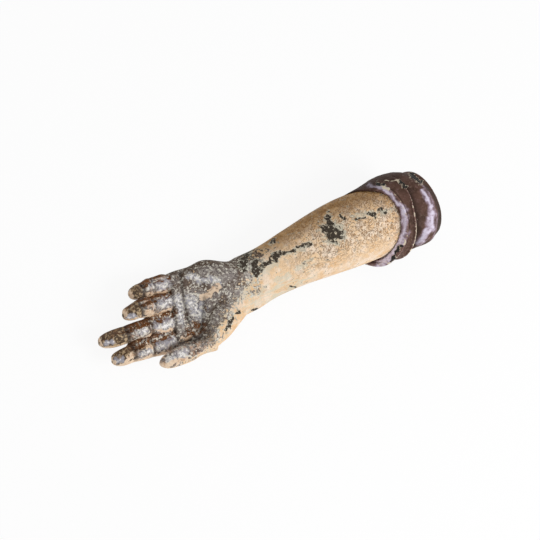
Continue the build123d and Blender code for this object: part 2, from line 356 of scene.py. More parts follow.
@dataclass(frozen=True)
class ThumbPlan:
    """The thumb's seat and the way it points."""

    setback: float = 15.5
    offset: float = 33.3
    height: float = 27.0
    turn: float = 5.0

    @property
    def seat(self) -> np.ndarray:
        """The middle of the thumb's root."""
        return WRIST + np.array([self.setback - FingerPlan.PALM_LENGTH, -self.offset, self.height])

    @property
    def way(self) -> np.ndarray:
        """The way that the thumb points."""
        return pointing(self.turn)


THUMB = ThumbPlan()


# Marks in the paint


class Mark(Enum):
    """Kinds of marks, each a mask that the paint reads by this name."""

    CHIP = "chip"  # flaked off to the dark wood
    BARE = "bare"  # rubbed down to pale wood
    GESSO = "gesso"  # the white ground shows
    SHEEN = "sheen"  # painted highlight, on paint worn smooth by touch
    RUST_AND_SHADE = "rust_and_shade"  # warm brown: a patch by the thumb's web, and painted shade on the fingers' sides
    GRIME = "grime"  # dirt of handling


@dataclass(frozen=True)
class Stroke:
    """A mark along a line between two pixels of the photograph."""

    mark: Mark
    start: tuple[float, float]
    end: tuple[float, float]
    half_width: float


ARM_STROKES = (
    # Large flake on the middle of the forearm, with its spur
    Stroke(Mark.CHIP, (329, 228), (336, 235), 7.0),
    Stroke(Mark.CHIP, (329, 215), (328, 225), 3.0),
    Stroke(Mark.GESSO, (339, 225), (345, 238), 4.0),
    Stroke(Mark.GESSO, (325, 242), (336, 244), 2.6),
    # Small flakes from there to the sleeve
    Stroke(Mark.CHIP, (341, 216), (346, 219), 1.5),
    Stroke(Mark.CHIP, (356, 220), (366, 218), 0.9),
    Stroke(Mark.CHIP, (371, 214), (374, 216), 1.9),
    Stroke(Mark.CHIP, (378, 209.5), (385, 212), 1.6),
    Stroke(Mark.GESSO, (352, 216), (372, 213), 3.2),
    Stroke(Mark.GESSO, (378, 214), (390, 211), 2.6),
    # Trail of flakes from there to the wrist
    Stroke(Mark.CHIP, (304, 244.5), (310, 243), 1.7),
    Stroke(Mark.CHIP, (297, 248), (302, 246.5), 1.5),
    Stroke(Mark.CHIP, (283, 253.5), (295, 250.5), 1.6),
    Stroke(Mark.CHIP, (273, 257.5), (280, 254.5), 2.8),
    Stroke(Mark.CHIP, (259, 269), (270, 261), 2.8),
    Stroke(Mark.CHIP, (255, 262), (256, 275), 3.2),
    Stroke(Mark.CHIP, (247, 252), (243, 266), 3.6),
    Stroke(Mark.CHIP, (270.5, 243.5), (274.5, 241), 1.6),
    Stroke(Mark.GESSO, (262, 274), (276, 262), 3.4),
    Stroke(Mark.GESSO, (285, 256), (304, 248), 2.6),
    # Thumb's side of the wrist and of the hand
    Stroke(Mark.CHIP, (233, 319), (226, 330), 1.7),
    Stroke(Mark.CHIP, (240, 309), (236, 314), 1.3),
    Stroke(Mark.CHIP, (252, 310), (256, 309), 1.1),
    Stroke(Mark.CHIP, (291, 288), (296, 286.5), 1.0),
    Stroke(Mark.GRIME, (244, 297), (258, 289), 6.0),
    Stroke(Mark.GRIME, (230, 316), (240, 304), 4.0),
    Stroke(Mark.GESSO, (243, 296), (262, 290), 5.0),
    Stroke(Mark.GESSO, (250, 284), (232, 300), 7.0),
    Stroke(Mark.GESSO, (228, 312), (206, 341), 6.5),
    Stroke(Mark.GESSO, (206, 341), (190, 352), 4.5),
    Stroke(Mark.GESSO, (276, 281), (288, 276), 2.8),
    Stroke(Mark.GESSO, (296, 268), (312, 259), 2.6),
    Stroke(Mark.GESSO, (268, 303), (300, 283), 2.6),
    # Palm
    Stroke(Mark.BARE, (220, 285.5), (203, 298), 2.6),
    Stroke(Mark.SHEEN, (190, 278), (219, 281), 3.2),
    Stroke(Mark.SHEEN, (192, 302), (198, 312), 6.5),
    Stroke(Mark.SHEEN, (178, 296), (181, 322), 3.0),
    Stroke(Mark.RUST_AND_SHADE, (190, 333), (200, 327), 5.5),
    Stroke(Mark.BARE, (182, 339), (192, 337.5), 1.2),
    # Pads nearest the palm, from the little finger
    Stroke(Mark.SHEEN, (158, 286), (167, 283), 4.0),
    Stroke(Mark.SHEEN, (160, 304.5), (170, 301), 4.5),
    Stroke(Mark.SHEEN, (158, 327.5), (171, 322.5), 4.5),
    Stroke(Mark.SHEEN, (160, 347), (173, 340.5), 3.6),
    # Middle pads
    Stroke(Mark.SHEEN, (147.5, 289), (152.5, 283), 1.8),
    Stroke(Mark.BARE, (145, 313), (152, 312), 2.2),
    Stroke(Mark.SHEEN, (138, 333.5), (146, 330), 2.8),
    Stroke(Mark.SHEEN, (142, 355.5), (150, 350.5), 2.8),
    Stroke(Mark.BARE, (128, 360), (134, 352), 2.6),
    Stroke(Mark.BARE, (147, 347), (152, 344), 2.2),
    # Fingertips
    Stroke(Mark.SHEEN, (126, 317.5), (134, 316), 1.8),
    Stroke(Mark.SHEEN, (104, 343.5), (113, 341.5), 2.0),
    Stroke(Mark.SHEEN, (117, 362), (123, 358.5), 2.7),
    Stroke(Mark.BARE, (128.8, 291), (132, 298), 1.8),
    Stroke(Mark.BARE, (123.3, 311), (124.5, 317), 1.4),
    Stroke(Mark.BARE, (99.3, 339), (101, 346), 1.4),
    Stroke(Mark.BARE, (112.6, 357), (114, 364), 1.8),
    # Worn lower edges of the fingers
    Stroke(Mark.BARE, (145, 296), (169, 290.5), 1.0),
    Stroke(Mark.BARE, (147, 316.5), (171, 309.5), 1.0),
    Stroke(Mark.BARE, (154, 331.5), (172, 330), 0.9),
    Stroke(Mark.BARE, (124, 364.5), (164, 354.5), 2.2),
    # Painted shade in warm brown on the fingers' upper sides
    Stroke(Mark.RUST_AND_SHADE, (118, 353), (172, 333), 3.6),
    Stroke(Mark.RUST_AND_SHADE, (131, 327), (172, 313), 3.4),
    Stroke(Mark.RUST_AND_SHADE, (142, 299), (169, 293.5), 2.6),
    # Thumb
    Stroke(Mark.SHEEN, (170, 359), (185, 352.5), 4.0),
    Stroke(Mark.BARE, (161, 366), (165, 367), 2.4),
    Stroke(Mark.BARE, (166, 365), (186, 359), 2.2),
)

SLEEVE_STROKES = (
    # Flakes on the lip, the ridge and the rear fold
    Stroke(Mark.CHIP, (377, 182.5), (383.5, 185), 1.4),
    Stroke(Mark.CHIP, (400, 181), (405, 186), 1.8),
    Stroke(Mark.CHIP, (400, 247), (396, 252.5), 1.7),
    Stroke(Mark.CHIP, (394.5, 255.5), (390.5, 260), 1.4),
    Stroke(Mark.CHIP, (411, 174.5), (420, 182), 2.0),
    Stroke(Mark.BARE, (384, 186.5), (389, 190), 0.8),
    Stroke(Mark.BARE, (391, 260), (388, 264.5), 1.2),
    Stroke(Mark.BARE, (402, 244), (404, 240), 1.0),
    # Ridge's end, where it bends forward to the lip
    Stroke(Mark.BARE, (404, 185), (399, 180.5), 0.8),
    Stroke(Mark.BARE, (399, 180.5), (384, 181), 0.7),
    # Painted highlight on the rubbed lip
    Stroke(Mark.SHEEN, (368, 185.5), (384, 187), 1.8),
    Stroke(Mark.SHEEN, (385, 189), (402, 208), 1.7),
    Stroke(Mark.SHEEN, (404, 210), (404.5, 234), 2.7),
    Stroke(Mark.SHEEN, (402, 237), (391, 254), 3.2),
    Stroke(Mark.SHEEN, (389, 256), (378, 265), 4.2),
    # Painted highlight on the crest of the rear fold
    Stroke(Mark.SHEEN, (424, 191), (432, 208), 2.2),
    Stroke(Mark.SHEEN, (432, 213), (431, 228), 3.4),
    Stroke(Mark.SHEEN, (430, 229), (418, 243), 2.9),
)


# Skins


@dataclass
class Surface:
    """A skin's points and outward ways, in millimetres, for sculpting and masks."""

    mesh: bpy.types.Mesh

    WANDER = 3.0  # how far strokes stray from their lines, in pixels
    WANDER_SIZES = (4.5, 5.3)  # millimetres between turns, across and down
    PULLS = (0.5, -0.52)  # out of the steps and back, so that the form keeps its size
    SEEN = (0.02, 0.22)  # from edge-on to well seen

    def __post_init__(self) -> None:
        """Reads the mesh."""
        self.count = len(self.mesh.vertices)
        edges = np.empty(2 * len(self.mesh.edges), np.int32)
        self.mesh.edges.foreach_get("vertices", edges)
        self.first, self.second = edges.reshape(-1, 2).T
        self.degree = np.bincount(edges, minlength=self.count)
        points = np.empty(3 * self.count)
        self.mesh.vertices.foreach_get("co", points)
        self.points = points.reshape(-1, 3) / MM
        self.refresh()

    def refresh(self) -> None:
        """Writes the points back to the mesh and reads the outward ways again."""
        self.mesh.vertices.foreach_set("co", (self.points * MM).ravel())
        self.mesh.update()
        normals = np.empty(3 * self.count)
        self.mesh.vertex_normals.foreach_get("vector", normals)
        self.normals = normals.reshape(-1, 3)

    def around(self, values: np.ndarray) -> np.ndarray:
        """Mean of each point's neighbours.

        Args:
            values: One number or one row per point.

        Returns:
            The means, in the same form.
        """
        if values.ndim > 1:
            return np.stack([self.around(column) for column in values.T], axis=1)
        total = np.bincount(self.first, values[self.second], self.count)
        total += np.bincount(self.second, values[self.first], self.count)
        return total / self.degree

    def softened(self, values: np.ndarray, rounds: int) -> np.ndarray:
        """Spreads values over their neighbours.

        Args:
            values: One number or one row per point.
            rounds: How often.

        Returns:
            The spread values.
        """
        for _ in range(rounds):
            values = (values + self.around(values)) / 2
        return values

    def smooth(self, rounds: int) -> None:
        """Takes off the voxel steps without shrinking the form.

        Args:
            rounds: How often.
        """
        for _ in range(rounds):
            for pull in self.PULLS:
                self.points = self.points + pull * (self.around(self.points) - self.points)
        self.refresh()

    def raise_by(self, height: np.ndarray) -> None:
        """Moves each point out by its height."""
        self.points = self.points + self.normals * height[:, None]
        self.refresh()

    def even_out(self, share: np.ndarray, rounds: int) -> None:
        """Rounds off steps and corners where the share is high.

        Args:
            share: How far each point goes to its evened place, from 0 to 1.
            rounds: How often the places are spread over their neighbours.
        """
        even = self.softened(self.points, rounds)
        self.points = self.points + share[:, None] * (even - self.points)
        self.refresh()

    def relief(self, rounds: int) -> np.ndarray:
        """How far each point stands proud of its surroundings.

        Args:
            rounds: How far the surroundings reach, in rounds of spreading.

        Returns:
            Heights in millimetres.
        """
        soft = self.softened(self.points, rounds)
        return np.einsum("ij,ij->i", self.points - soft, self.normals)

    def ripple(self, size: float, stretch: tuple[float, float, float] = (1.0, 1.0, 1.0)) -> np.ndarray:
        """Smooth random field.

        Args:
            size: Rough size of a bump in millimetres.
            stretch: How much longer the bumps are along each axis.

        Returns:
            Numbers of about -1 to 1, one per point.
        """
        scaled = self.points / (size * np.array(stretch))
        return np.array([noise.noise(Vector(point)) for point in scaled])

    def facing(self) -> np.ndarray:
        """How far each point faces the photograph's camera, from 0 to 1."""
        return ease(self.normals @ PHOTO.axes()[2], *self.SEEN)

    def rest_on_table(self) -> None:
        """Lifts what hangs below the table onto it."""
        self.points[:, 2] = np.maximum(self.points[:, 2], 0.0)
        self.refresh()

    def mask(self, name: str, values: np.ndarray) -> None:
        """Stores a paint mask on the mesh."""
        layer = self.mesh.attributes.new(name, "FLOAT", "POINT")
        layer.data.foreach_set("value", np.clip(values, 0.0, 1.0))

    def stroke_masks(self, strokes: tuple[Stroke, ...]) -> dict[Mark, np.ndarray]:
        """Fields of the marks: 1 on a stroke's line, a half at its half width and 0 at twice that.

        Args:
            strokes: Marks placed by the photograph's pixels.

        Returns:
            One field per kind of mark.
        """
        drift = np.stack([self.ripple(size) for size in self.WANDER_SIZES], axis=1)
        pixels = PHOTO.pixels(self.points) + self.WANDER * drift
        fields = {mark: np.zeros(self.count) for mark in Mark}
        for stroke in strokes:
            distance = line_distance(pixels, stroke.start, stroke.end)
            value = np.clip(1 - distance / (2 * stroke.half_width), 0.0, 1.0)
            fields[stroke.mark] = np.maximum(fields[stroke.mark], value)
        return {mark: field * self.facing() for mark, field in fields.items()}


def add_object(name: str, mesh: bpy.types.Mesh) -> bpy.types.Object:
    """Puts a mesh in the scene as an object at the origin.

    Args:
        name: The object's name.
        mesh: Its mesh.

    Returns:
        The object.
    """
    piece = bpy.data.objects.new(name, mesh)
    bpy.context.scene.collection.objects.link(piece)
    return piece


def copied(name: str) -> bmesh.types.BMesh:
    """Copy of a CAD node's mesh with its vertices merged.

    Args:
        name: The node.

    Returns:
        The copy, in metres.
    """
    part = bmesh.new()
    part.from_mesh(frame["nodes"][name].data)
    bmesh.ops.remove_doubles(part, verts=part.verts, dist=SAME_POINT)
    return part


def run_in(part: bmesh.types.BMesh, seat: np.ndarray, way: np.ndarray, depth: float) -> None:
    """Moves a flat joint face out of a form, so that it overlaps the form beside it.

    Args:
        part: The form.
        seat: A point of the face, in millimetres.
        way: The way into the form, square to the face.
        depth: How far the face moves, in millimetres.
    """
    seat, way = Vector(seat), Vector(way)
    for vert in part.verts:
        if abs((vert.co / MM - seat).dot(way)) < ON_FACE:
            vert.co -= way * depth * MM


def joined(name: str, parts: list[bmesh.types.BMesh]) -> bpy.types.Mesh:
    """One mesh of several forms, which are used up.

    Args:
        name: The mesh's name.
        parts: The forms.

    Returns:
        The mesh.
    """
    whole = bmesh.new()
    for part in parts:
        mesh = bpy.data.meshes.new(name)
        part.to_mesh(mesh)
        part.free()
        whole.from_mesh(mesh)
        bpy.data.meshes.remove(mesh)
    mesh = bpy.data.meshes.new(name)
    whole.to_mesh(mesh)
    whole.free()
    return mesh


def remeshed(draft: bpy.types.Mesh, voxel: float) -> bpy.types.Mesh:
    """Even skin round closed forms that may overlap.

    Args:
        draft: The forms.
        voxel: Size of the skin's faces in millimetres.

    Returns:
        A new mesh with the largest shell only.
    """
    holder = add_object("draft", draft)
    modifier = holder.modifiers.new("Skin", "REMESH")
    modifier.mode = "VOXEL"
    modifier.voxel_size = voxel * MM
    graph = bpy.context.evaluated_depsgraph_get()
    mesh = bpy.data.meshes.new_from_object(holder.evaluated_get(graph))
    bpy.data.objects.remove(holder)
    bpy.data.meshes.remove(draft)
    skin = bmesh.new()
    skin.from_mesh(mesh)
    keep = largest_shell(skin)
    bmesh.ops.delete(skin, geom=[v for v in skin.verts if v not in keep], context="VERTS")
    skin.to_mesh(mesh)
    skin.free()
    return mesh


def largest_shell(skin: bmesh.types.BMesh) -> set[bmesh.types.BMVert]:
    """Finds the largest connected shell.

    Args:
        skin: A mesh of one shell or more.

    Returns:
        The shell's vertices.
    """
    left = set(skin.verts)
    largest: set[bmesh.types.BMVert] = set()
    while left:
        shell = {left.pop()}
        front = list(shell)
        while front:
            vert = front.pop()
            near = {edge.other_vert(vert) for edge in vert.link_edges} - shell
            shell |= near
            front.extend(near)
        left -= shell
        largest = max(largest, shell, key=len)
    return largest


def nearest_node(points: np.ndarray, names: list[str], reach: float = 3.0) -> np.ndarray:
    """Which CAD node each point lies on.

    Args:
        points: Points in millimetres.
        names: The nodes to choose from.
        reach: How far outside its box a node is still tried, in millimetres.

    Returns:
        One index into names per point.
    """
    graph = bpy.context.evaluated_depsgraph_get()
    best = np.full(len(points), np.inf)
    label = np.zeros(len(points), np.int32)
    for index, name in enumerate(names):
        tree = BVHTree.FromObject(frame["nodes"][name], graph)
        low, high = (np.array(corner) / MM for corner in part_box(name))
        near = np.all((points > low - reach) & (points < high + reach), axis=1)
        for i in np.nonzero(near)[0]:
            distance = tree.find_nearest(points[i] * MM)[3]
            if distance < best[i]:
                best[i] = distance
                label[i] = index
    return label


def split_skin(mesh: bpy.types.Mesh, labels: np.ndarray, names: list[str]) -> Pieces:
    """Cuts a skin into closed pieces, one for each CAD node, that still shade as one surface.

    Args:
        mesh: The whole skin.
        labels: Index into names of each vertex.
        names: The nodes that the pieces stand for.

    Returns:
        One object per node.
    """
    normals = np.empty(3 * len(mesh.vertices))
    mesh.vertex_normals.foreach_get("vector", normals)
    normals = normals.reshape(-1, 3)
    source = mesh.attributes.new("source", "INT", "POINT")
    source.data.foreach_set("value", np.arange(len(mesh.vertices), dtype=np.int32))
    pieces = {}
    for index, name in enumerate(names):
        part = bmesh.new()
        part.from_mesh(mesh)
        part.verts.ensure_lookup_table()
        away = [f for f in part.faces if np.bincount(labels[[v.index for v in f.verts]]).argmax() != index]
        bmesh.ops.delete(part, geom=away, context="FACES")
        rims = [e for e in part.edges if e.is_boundary]
        bmesh.ops.holes_fill(part, edges=rims, sides=0)
        for face in part.faces:
            face.smooth = True
        piece_mesh = bpy.data.meshes.new(f"{name}_skin")
        part.to_mesh(piece_mesh)
        part.free()
        taken = np.empty(len(piece_mesh.vertices), np.int32)
        piece_mesh.attributes["source"].data.foreach_get("value", taken)
        piece_mesh.normals_split_custom_set_from_vertices(normals[taken].tolist())
        piece_mesh.attributes.remove(piece_mesh.attributes["source"])
        pieces[name] = add_object(f"{name}_skin", piece_mesh)
    bpy.data.meshes.remove(mesh)
    return pieces


def pared(names: list[str], skin: Surface, cover: float) -> Pieces:
    """Copies of dowels or pegs, planed off where they would come through a skin.

    Args:
        names: Their nodes.
        skin: The skin over them.
        cover: Least depth under the skin in millimetres.

    Returns:
        One object per node.
    """
    faces = [tuple(face.vertices) for face in skin.mesh.polygons]
    tree = BVHTree.FromPolygons(skin.points.tolist(), faces)
    rods = {}
    for name in names:
        mesh = frame["nodes"][name].data.copy()
        for vert in mesh.vertices:
            place, out, *_ = tree.find_nearest(vert.co / MM)
            if (place - vert.co / MM).dot(out) < cover:
                vert.co = (place - out * cover) * MM
        rods[name] = add_object(f"{name}_rod", mesh)
    return rods


# Finishes


@dataclass(frozen=True)
class Cloud:
    """A cloudy pattern: a cloud's size in millimetres, finer layers, their strength and the twist."""

    size: float
    detail: float = 3.0
    rough: float = 0.55
    warp: float = 0.0


@dataclass(frozen=True)
class Tear:
    """A ragged patch: how far a pattern moves its edge, the mask's level there and the edge's blur."""

    ragged: float
    edge: float
    blur: float


@dataclass(frozen=True)
class Vein:
    """Thin lines where a pattern passes a level."""

    level: float
    width: float


class Bench:
    """Builds one material's nodes, a socket at a time."""

    GLOSS = 0.1  # old paint and wood, duller than plastic
    GROUND_HEIGHT = 0.7  # of the plain surface, between its pits and its crests
    VEIN_CORE = 0.4  # the full share of a vein's width

    def __init__(self, name: str) -> None:
        """Starts an empty material that reads Object coordinates.

        Args:
            name: The material's name.
        """
        self.material = bpy.data.materials.new(name)
        self.material.use_nodes = True
        self.tree = self.material.node_tree
        self.tree.nodes.clear()
        self.place = self.add("ShaderNodeTexCoord").outputs["Object"]

    @cached_property
    def broad(self) -> Socket:
        """Patches as wide as a thumb."""
        return self.noise(Cloud(size=26.0))

    @cached_property
    def clouds(self) -> Socket:
        """Patches of a fingernail's size."""
        return self.noise(Cloud(size=9.0, detail=4.0, rough=0.6))

    @cached_property
    def crumbs(self) -> Socket:
        """Patches of a peppercorn's size, with ragged edges."""
        return self.noise(Cloud(size=3.4, detail=4.0, rough=0.65))

    @cached_property
    def grit(self) -> Socket:
        """Fine grains."""
        return self.noise(Cloud(size=2.4, rough=0.6))

    @cached_property
    def squiggle(self) -> Socket:
        """Drawn-out, twisted patches."""
        return self.noise(Cloud(size=4.6, detail=2.0, rough=0.5, warp=1.3))

    def add(self, kind: str, **settings: object) -> bpy.types.Node:
        """Makes a node.

        Args:
            kind: Its type.
            **settings: Its properties.

        Returns:
            The node.
        """
        node = self.tree.nodes.new(kind)
        for key, value in settings.items():
            setattr(node, key, value)
        return node

    def feed(self, socket: Socket, value: Value) -> None:
        """Links a socket to another, or sets its value.

        Args:
            socket: The input.
            value: What goes into it.
        """
        if isinstance(value, Socket):
            self.tree.links.new(value, socket)
        else:
            socket.default_value = value

    def math(self, operation: str, first: Value, second: Value = 0.0) -> Socket:
        """Works out one operation.

        Args:
            operation: Its name.
            first: The value that it acts on.
            second: The other value, where it takes two.

        Returns:
            A socket with the result.
        """
        node = self.add("ShaderNodeMath", operation=operation)
        self.feed(node.inputs[0], first)
        self.feed(node.inputs[1], second)
        return node.outputs[0]

    def times(self, *shares: Value) -> Socket:
        """Multiplies shares.

        Args:
            *shares: Two or more.

        Returns:
            A socket with their product.
        """
        product = shares[0]
        for share in shares[1:]:
            product = self.math("MULTIPLY", product, share)
        return product

    def most(self, first: Value, second: Value) -> Socket:
        """The higher of two shares."""
        return self.math("MAXIMUM", first, second)

    def stretched(self, scale: tuple = (1.0, 1.0, 1.0), shift: tuple = (0.0, 0.0, 0.0)) -> Socket:
        """Moves the coordinates.

        Args:
            scale: Scale along each axis.
            shift: Shift along each axis in millimetres.

        Returns:
            A socket with the new coordinates.
        """
        node = self.add("ShaderNodeMapping")
        self.feed(node.inputs["Vector"], self.place)
        self.feed(node.inputs["Location"], [MM * value for value in shift])
        self.feed(node.inputs["Scale"], scale)
        return node.outputs["Vector"]

    def noise(self, cloud: Cloud, place: Socket | None = None) -> Socket:
        """Cloudy pattern.

        Args:
            cloud: The pattern's sizes.
            place: Other coordinates than the object's.

        Returns:
            A socket with 0 to 1.
        """
        node = self.add("ShaderNodeTexNoise")
        self.feed(node.inputs["Vector"], place or self.place)
        self.feed(node.inputs["Scale"], 1 / (cloud.size * MM))
        self.feed(node.inputs["Detail"], cloud.detail)
        self.feed(node.inputs["Roughness"], cloud.rough)
        self.feed(node.inputs["Distortion"], cloud.warp)
        return node.outputs["Fac"]

    def mask(self, name: str) -> Socket:
        """A paint mask stored on the mesh."""
        return self.add("ShaderNodeAttribute", attribute_name=name).outputs["Fac"]

    def step(self, value: Socket, run: Run) -> Socket:
        """Share that grows over a run.

        Args:
            value: A pattern.
            run: The run of its levels.

        Returns:
            A socket with 0 to the run's share.
        """
        node = self.add("ShaderNodeMapRange", interpolation_type="SMOOTHSTEP")
        self.feed(node.inputs["Value"], value)
        self.feed(node.inputs["From Min"], run.start)
        self.feed(node.inputs["From Max"], run.end)
        self.feed(node.inputs["To Max"], run.share)
        return node.outputs[0]

    def lines(self, pattern: Socket, vein: Vein) -> Socket:
        """Draws thin lines.

        Args:
            pattern: The pattern whose level they follow.
            vein: The level and the lines' width.

        Returns:
            A socket with 1 on the lines.
        """
        away = self.math("ABSOLUTE", self.math("SUBTRACT", pattern, vein.level))
        return self.step(away, Run(vein.width, self.VEIN_CORE * vein.width))

    def torn(self, name: str, pattern: Socket, tear: Tear, strength: float = 1.0) -> Socket:
        """Ragged patch where a mask and a pattern together pass an edge.

        Args:
            name: The mask.
            pattern: Cloudy pattern round a half.
            tear: The patch's edge.
            strength: What the mask is multiplied by.

        Returns:
            A socket with 0 outside the patch and 1 inside.
        """
        shift = self.times(self.math("SUBTRACT", pattern, 0.5), tear.ragged)
        field = self.math("ADD", self.times(self.mask(name), strength), shift)
        return self.step(field, Run(tear.edge - tear.blur, tear.edge + tear.blur))

    def over(self, share: Value, under: Value, top: Value, strength: float = 1.0) -> Socket:
        """Lays one colour over another.

        Args:
            share: How far the upper one covers.
            under: The lower colour.
            top: The upper colour.
            strength: What the share is multiplied by.

        Returns:
            A socket with the colour.
        """
        node = self.add("ShaderNodeMix", data_type="RGBA")
        self.feed(node.inputs[0], self.times(share, strength))
        self.feed(node.inputs[6], under)
        self.feed(node.inputs[7], top)
        return node.outputs[2]

    def between(self, share: Value, first: Value, second: Value) -> Socket:
        """Goes from one value to another.

        Args:
            share: How far.
            first: The value at 0.
            second: The value at 1.

        Returns:
            A socket with the value.
        """
        node = self.add("ShaderNodeMix", data_type="FLOAT")
        self.feed(node.inputs[0], share)
        self.feed(node.inputs[2], first)
        self.feed(node.inputs[3], second)
        return node.outputs[0]

    def relief(self, layers: tuple[Socket, ...], rises: tuple[float, ...]) -> Socket:
        """Adds up a surface's layers.

        Args:
            layers: Shares from 0 to 1.
            rises: What each adds to the height.

        Returns:
            A socket with the height.
        """
        height = self.GROUND_HEIGHT
        for layer, rise in zip(layers, rises):
            height = self.math("ADD", height, self.times(layer, rise))
        return height

    def finish(self, colour: Socket, rough: Value, height: Socket, depth: float) -> bpy.types.Material:
        """Shades the surface.

        Args:
            colour: Base colour.
            rough: Roughness.
            height: Relief from 0 to 1.
            depth: What a height of 1 is, in millimetres.

        Returns:
            The finished material.
        """
        bump = self.add("ShaderNodeBump")
        self.feed(bump.inputs["Height"], height)
        self.feed(bump.inputs["Distance"], depth * MM)
        self.feed(bump.inputs["Strength"], 1.0)
        shader = self.add("ShaderNodeBsdfPrincipled")
        self.feed(shader.inputs["Specular IOR Level"], self.GLOSS)
        self.feed(shader.inputs["Base Color"], colour)
        self.feed(shader.inputs["Roughness"], rough)
        self.feed(shader.inputs["Normal"], bump.outputs["Normal"])
        output = self.add("ShaderNodeOutputMaterial")
        self.tree.links.new(shader.outputs[0], output.inputs["Surface"])
        return self.material


@dataclass(frozen=True)
class SawnWood:
    """Bare end grain: growth rings round a heart off the block's middle."""

    light: Colour = paint(178, 140, 98)
    dark: Colour = paint(112, 80, 50)
    crack: Colour = paint(60, 42, 28)
    ring: float = 2.6
    ring_share: float = 0.7
    heart: tuple = (0.0, 14.0, -46.0)
    wobble: float = 2.4
    wobble_detail: float = 3.0
    wobble_scale: float = 0.6
    patches: Run = Run(0.5, 0.75, 0.6)
    pores: Run = Run(0.6, 0.72, 0.7)

    RING_TURN = 0.314  # the wave pattern's length between rings at a scale of 1

    def colour(self, bench: Bench) -> Socket:
        """Lays rings and pores.

        Args:
            bench: The material.

        Returns:
            A socket with the colour.
        """
        rings = bench.add("ShaderNodeTexWave", wave_type="RINGS", rings_direction="X")
        bench.feed(rings.inputs["Vector"], bench.stretched(shift=self.heart))
        bench.feed(rings.inputs["Scale"], self.RING_TURN / (self.ring * MM))
        bench.feed(rings.inputs["Distortion"], self.wobble)
        bench.feed(rings.inputs["Detail"], self.wobble_detail)
        bench.feed(rings.inputs["Detail Scale"], self.wobble_scale)
        wood = bench.over(bench.times(rings.outputs["Fac"], self.ring_share), self.light, self.dark)
        wood = bench.over(bench.step(bench.clouds, self.patches), wood, self.dark)
        return bench.over(bench.step(bench.grit, self.pores), wood, self.crack)


@dataclass(frozen=True)
class FleshCoat:
    """Mottled flesh paint, darker on the little finger's side in painted shade and dirt, with worm-like
    pits drawn as painted shade beside painted highlights on their crests.
    """

    flesh: Colour = paint(238, 204, 164)
    warm: Colour = paint(226, 178, 124)
    pale: Colour = paint(247, 227, 206)
    # Olive: painted shade and dirt along the little finger's side and by the sleeve's mouth
    olive: Colour = paint(150, 104, 28)
    # Painted shade in the pits and a painted highlight on the crest beside each, as if lit from one side
    pit: Colour = paint(132, 90, 48)
    crest: Colour = paint(252, 234, 210)
    warm_patches: Run = Run(0.4, 0.72, 0.75)
    pale_patches: Run = Run(0.42, 0.64, 0.85)
    olive_patches: Run = Run(0.35, 0.6, 0.3)
    olive_least: float = 0.62
    pit_cloud: Cloud = Cloud(size=3.2, detail=2.0, rough=0.5, warp=1.1)
    pit_shift: tuple = (0.7, -0.6, 0.5)  # from a pit to its crest
    pit_vein: Vein = Vein(0.5, 0.075)
    pit_patches: Run = Run(0.36, 0.5)
    pit_share: float = 0.75
    crest_share: float = 0.7

    def lay(self, bench: Bench) -> tuple[Socket, Socket, Socket]:
        """Lays the coat.

        Args:
            bench: The material.

        Returns:
            The colour, the pits and the crests beside them.
        """
        colour = bench.over(bench.step(bench.broad, self.warm_patches), self.flesh, self.warm)
        colour = bench.over(bench.step(bench.clouds, self.pale_patches), colour, self.pale)
        here = bench.noise(self.pit_cloud)
        beside = bench.noise(self.pit_cloud, bench.stretched(shift=self.pit_shift))
        where = bench.times(bench.mask("pitted"), bench.step(bench.crumbs, self.pit_patches))
        # Painted shade in each pit and a painted highlight on its crest
        pits = bench.times(bench.lines(here, self.pit_vein), where)
        crests = bench.times(bench.lines(beside, self.pit_vein), where)
        colour = bench.over(crests, colour, self.crest, self.crest_share)
        mottled = bench.math("ADD", bench.step(bench.clouds, self.olive_patches), self.olive_least)
        colour = bench.over(bench.times(bench.mask("shade"), mottled), colour, self.olive)
        return bench.over(pits, colour, self.pit, self.pit_share), pits, crests


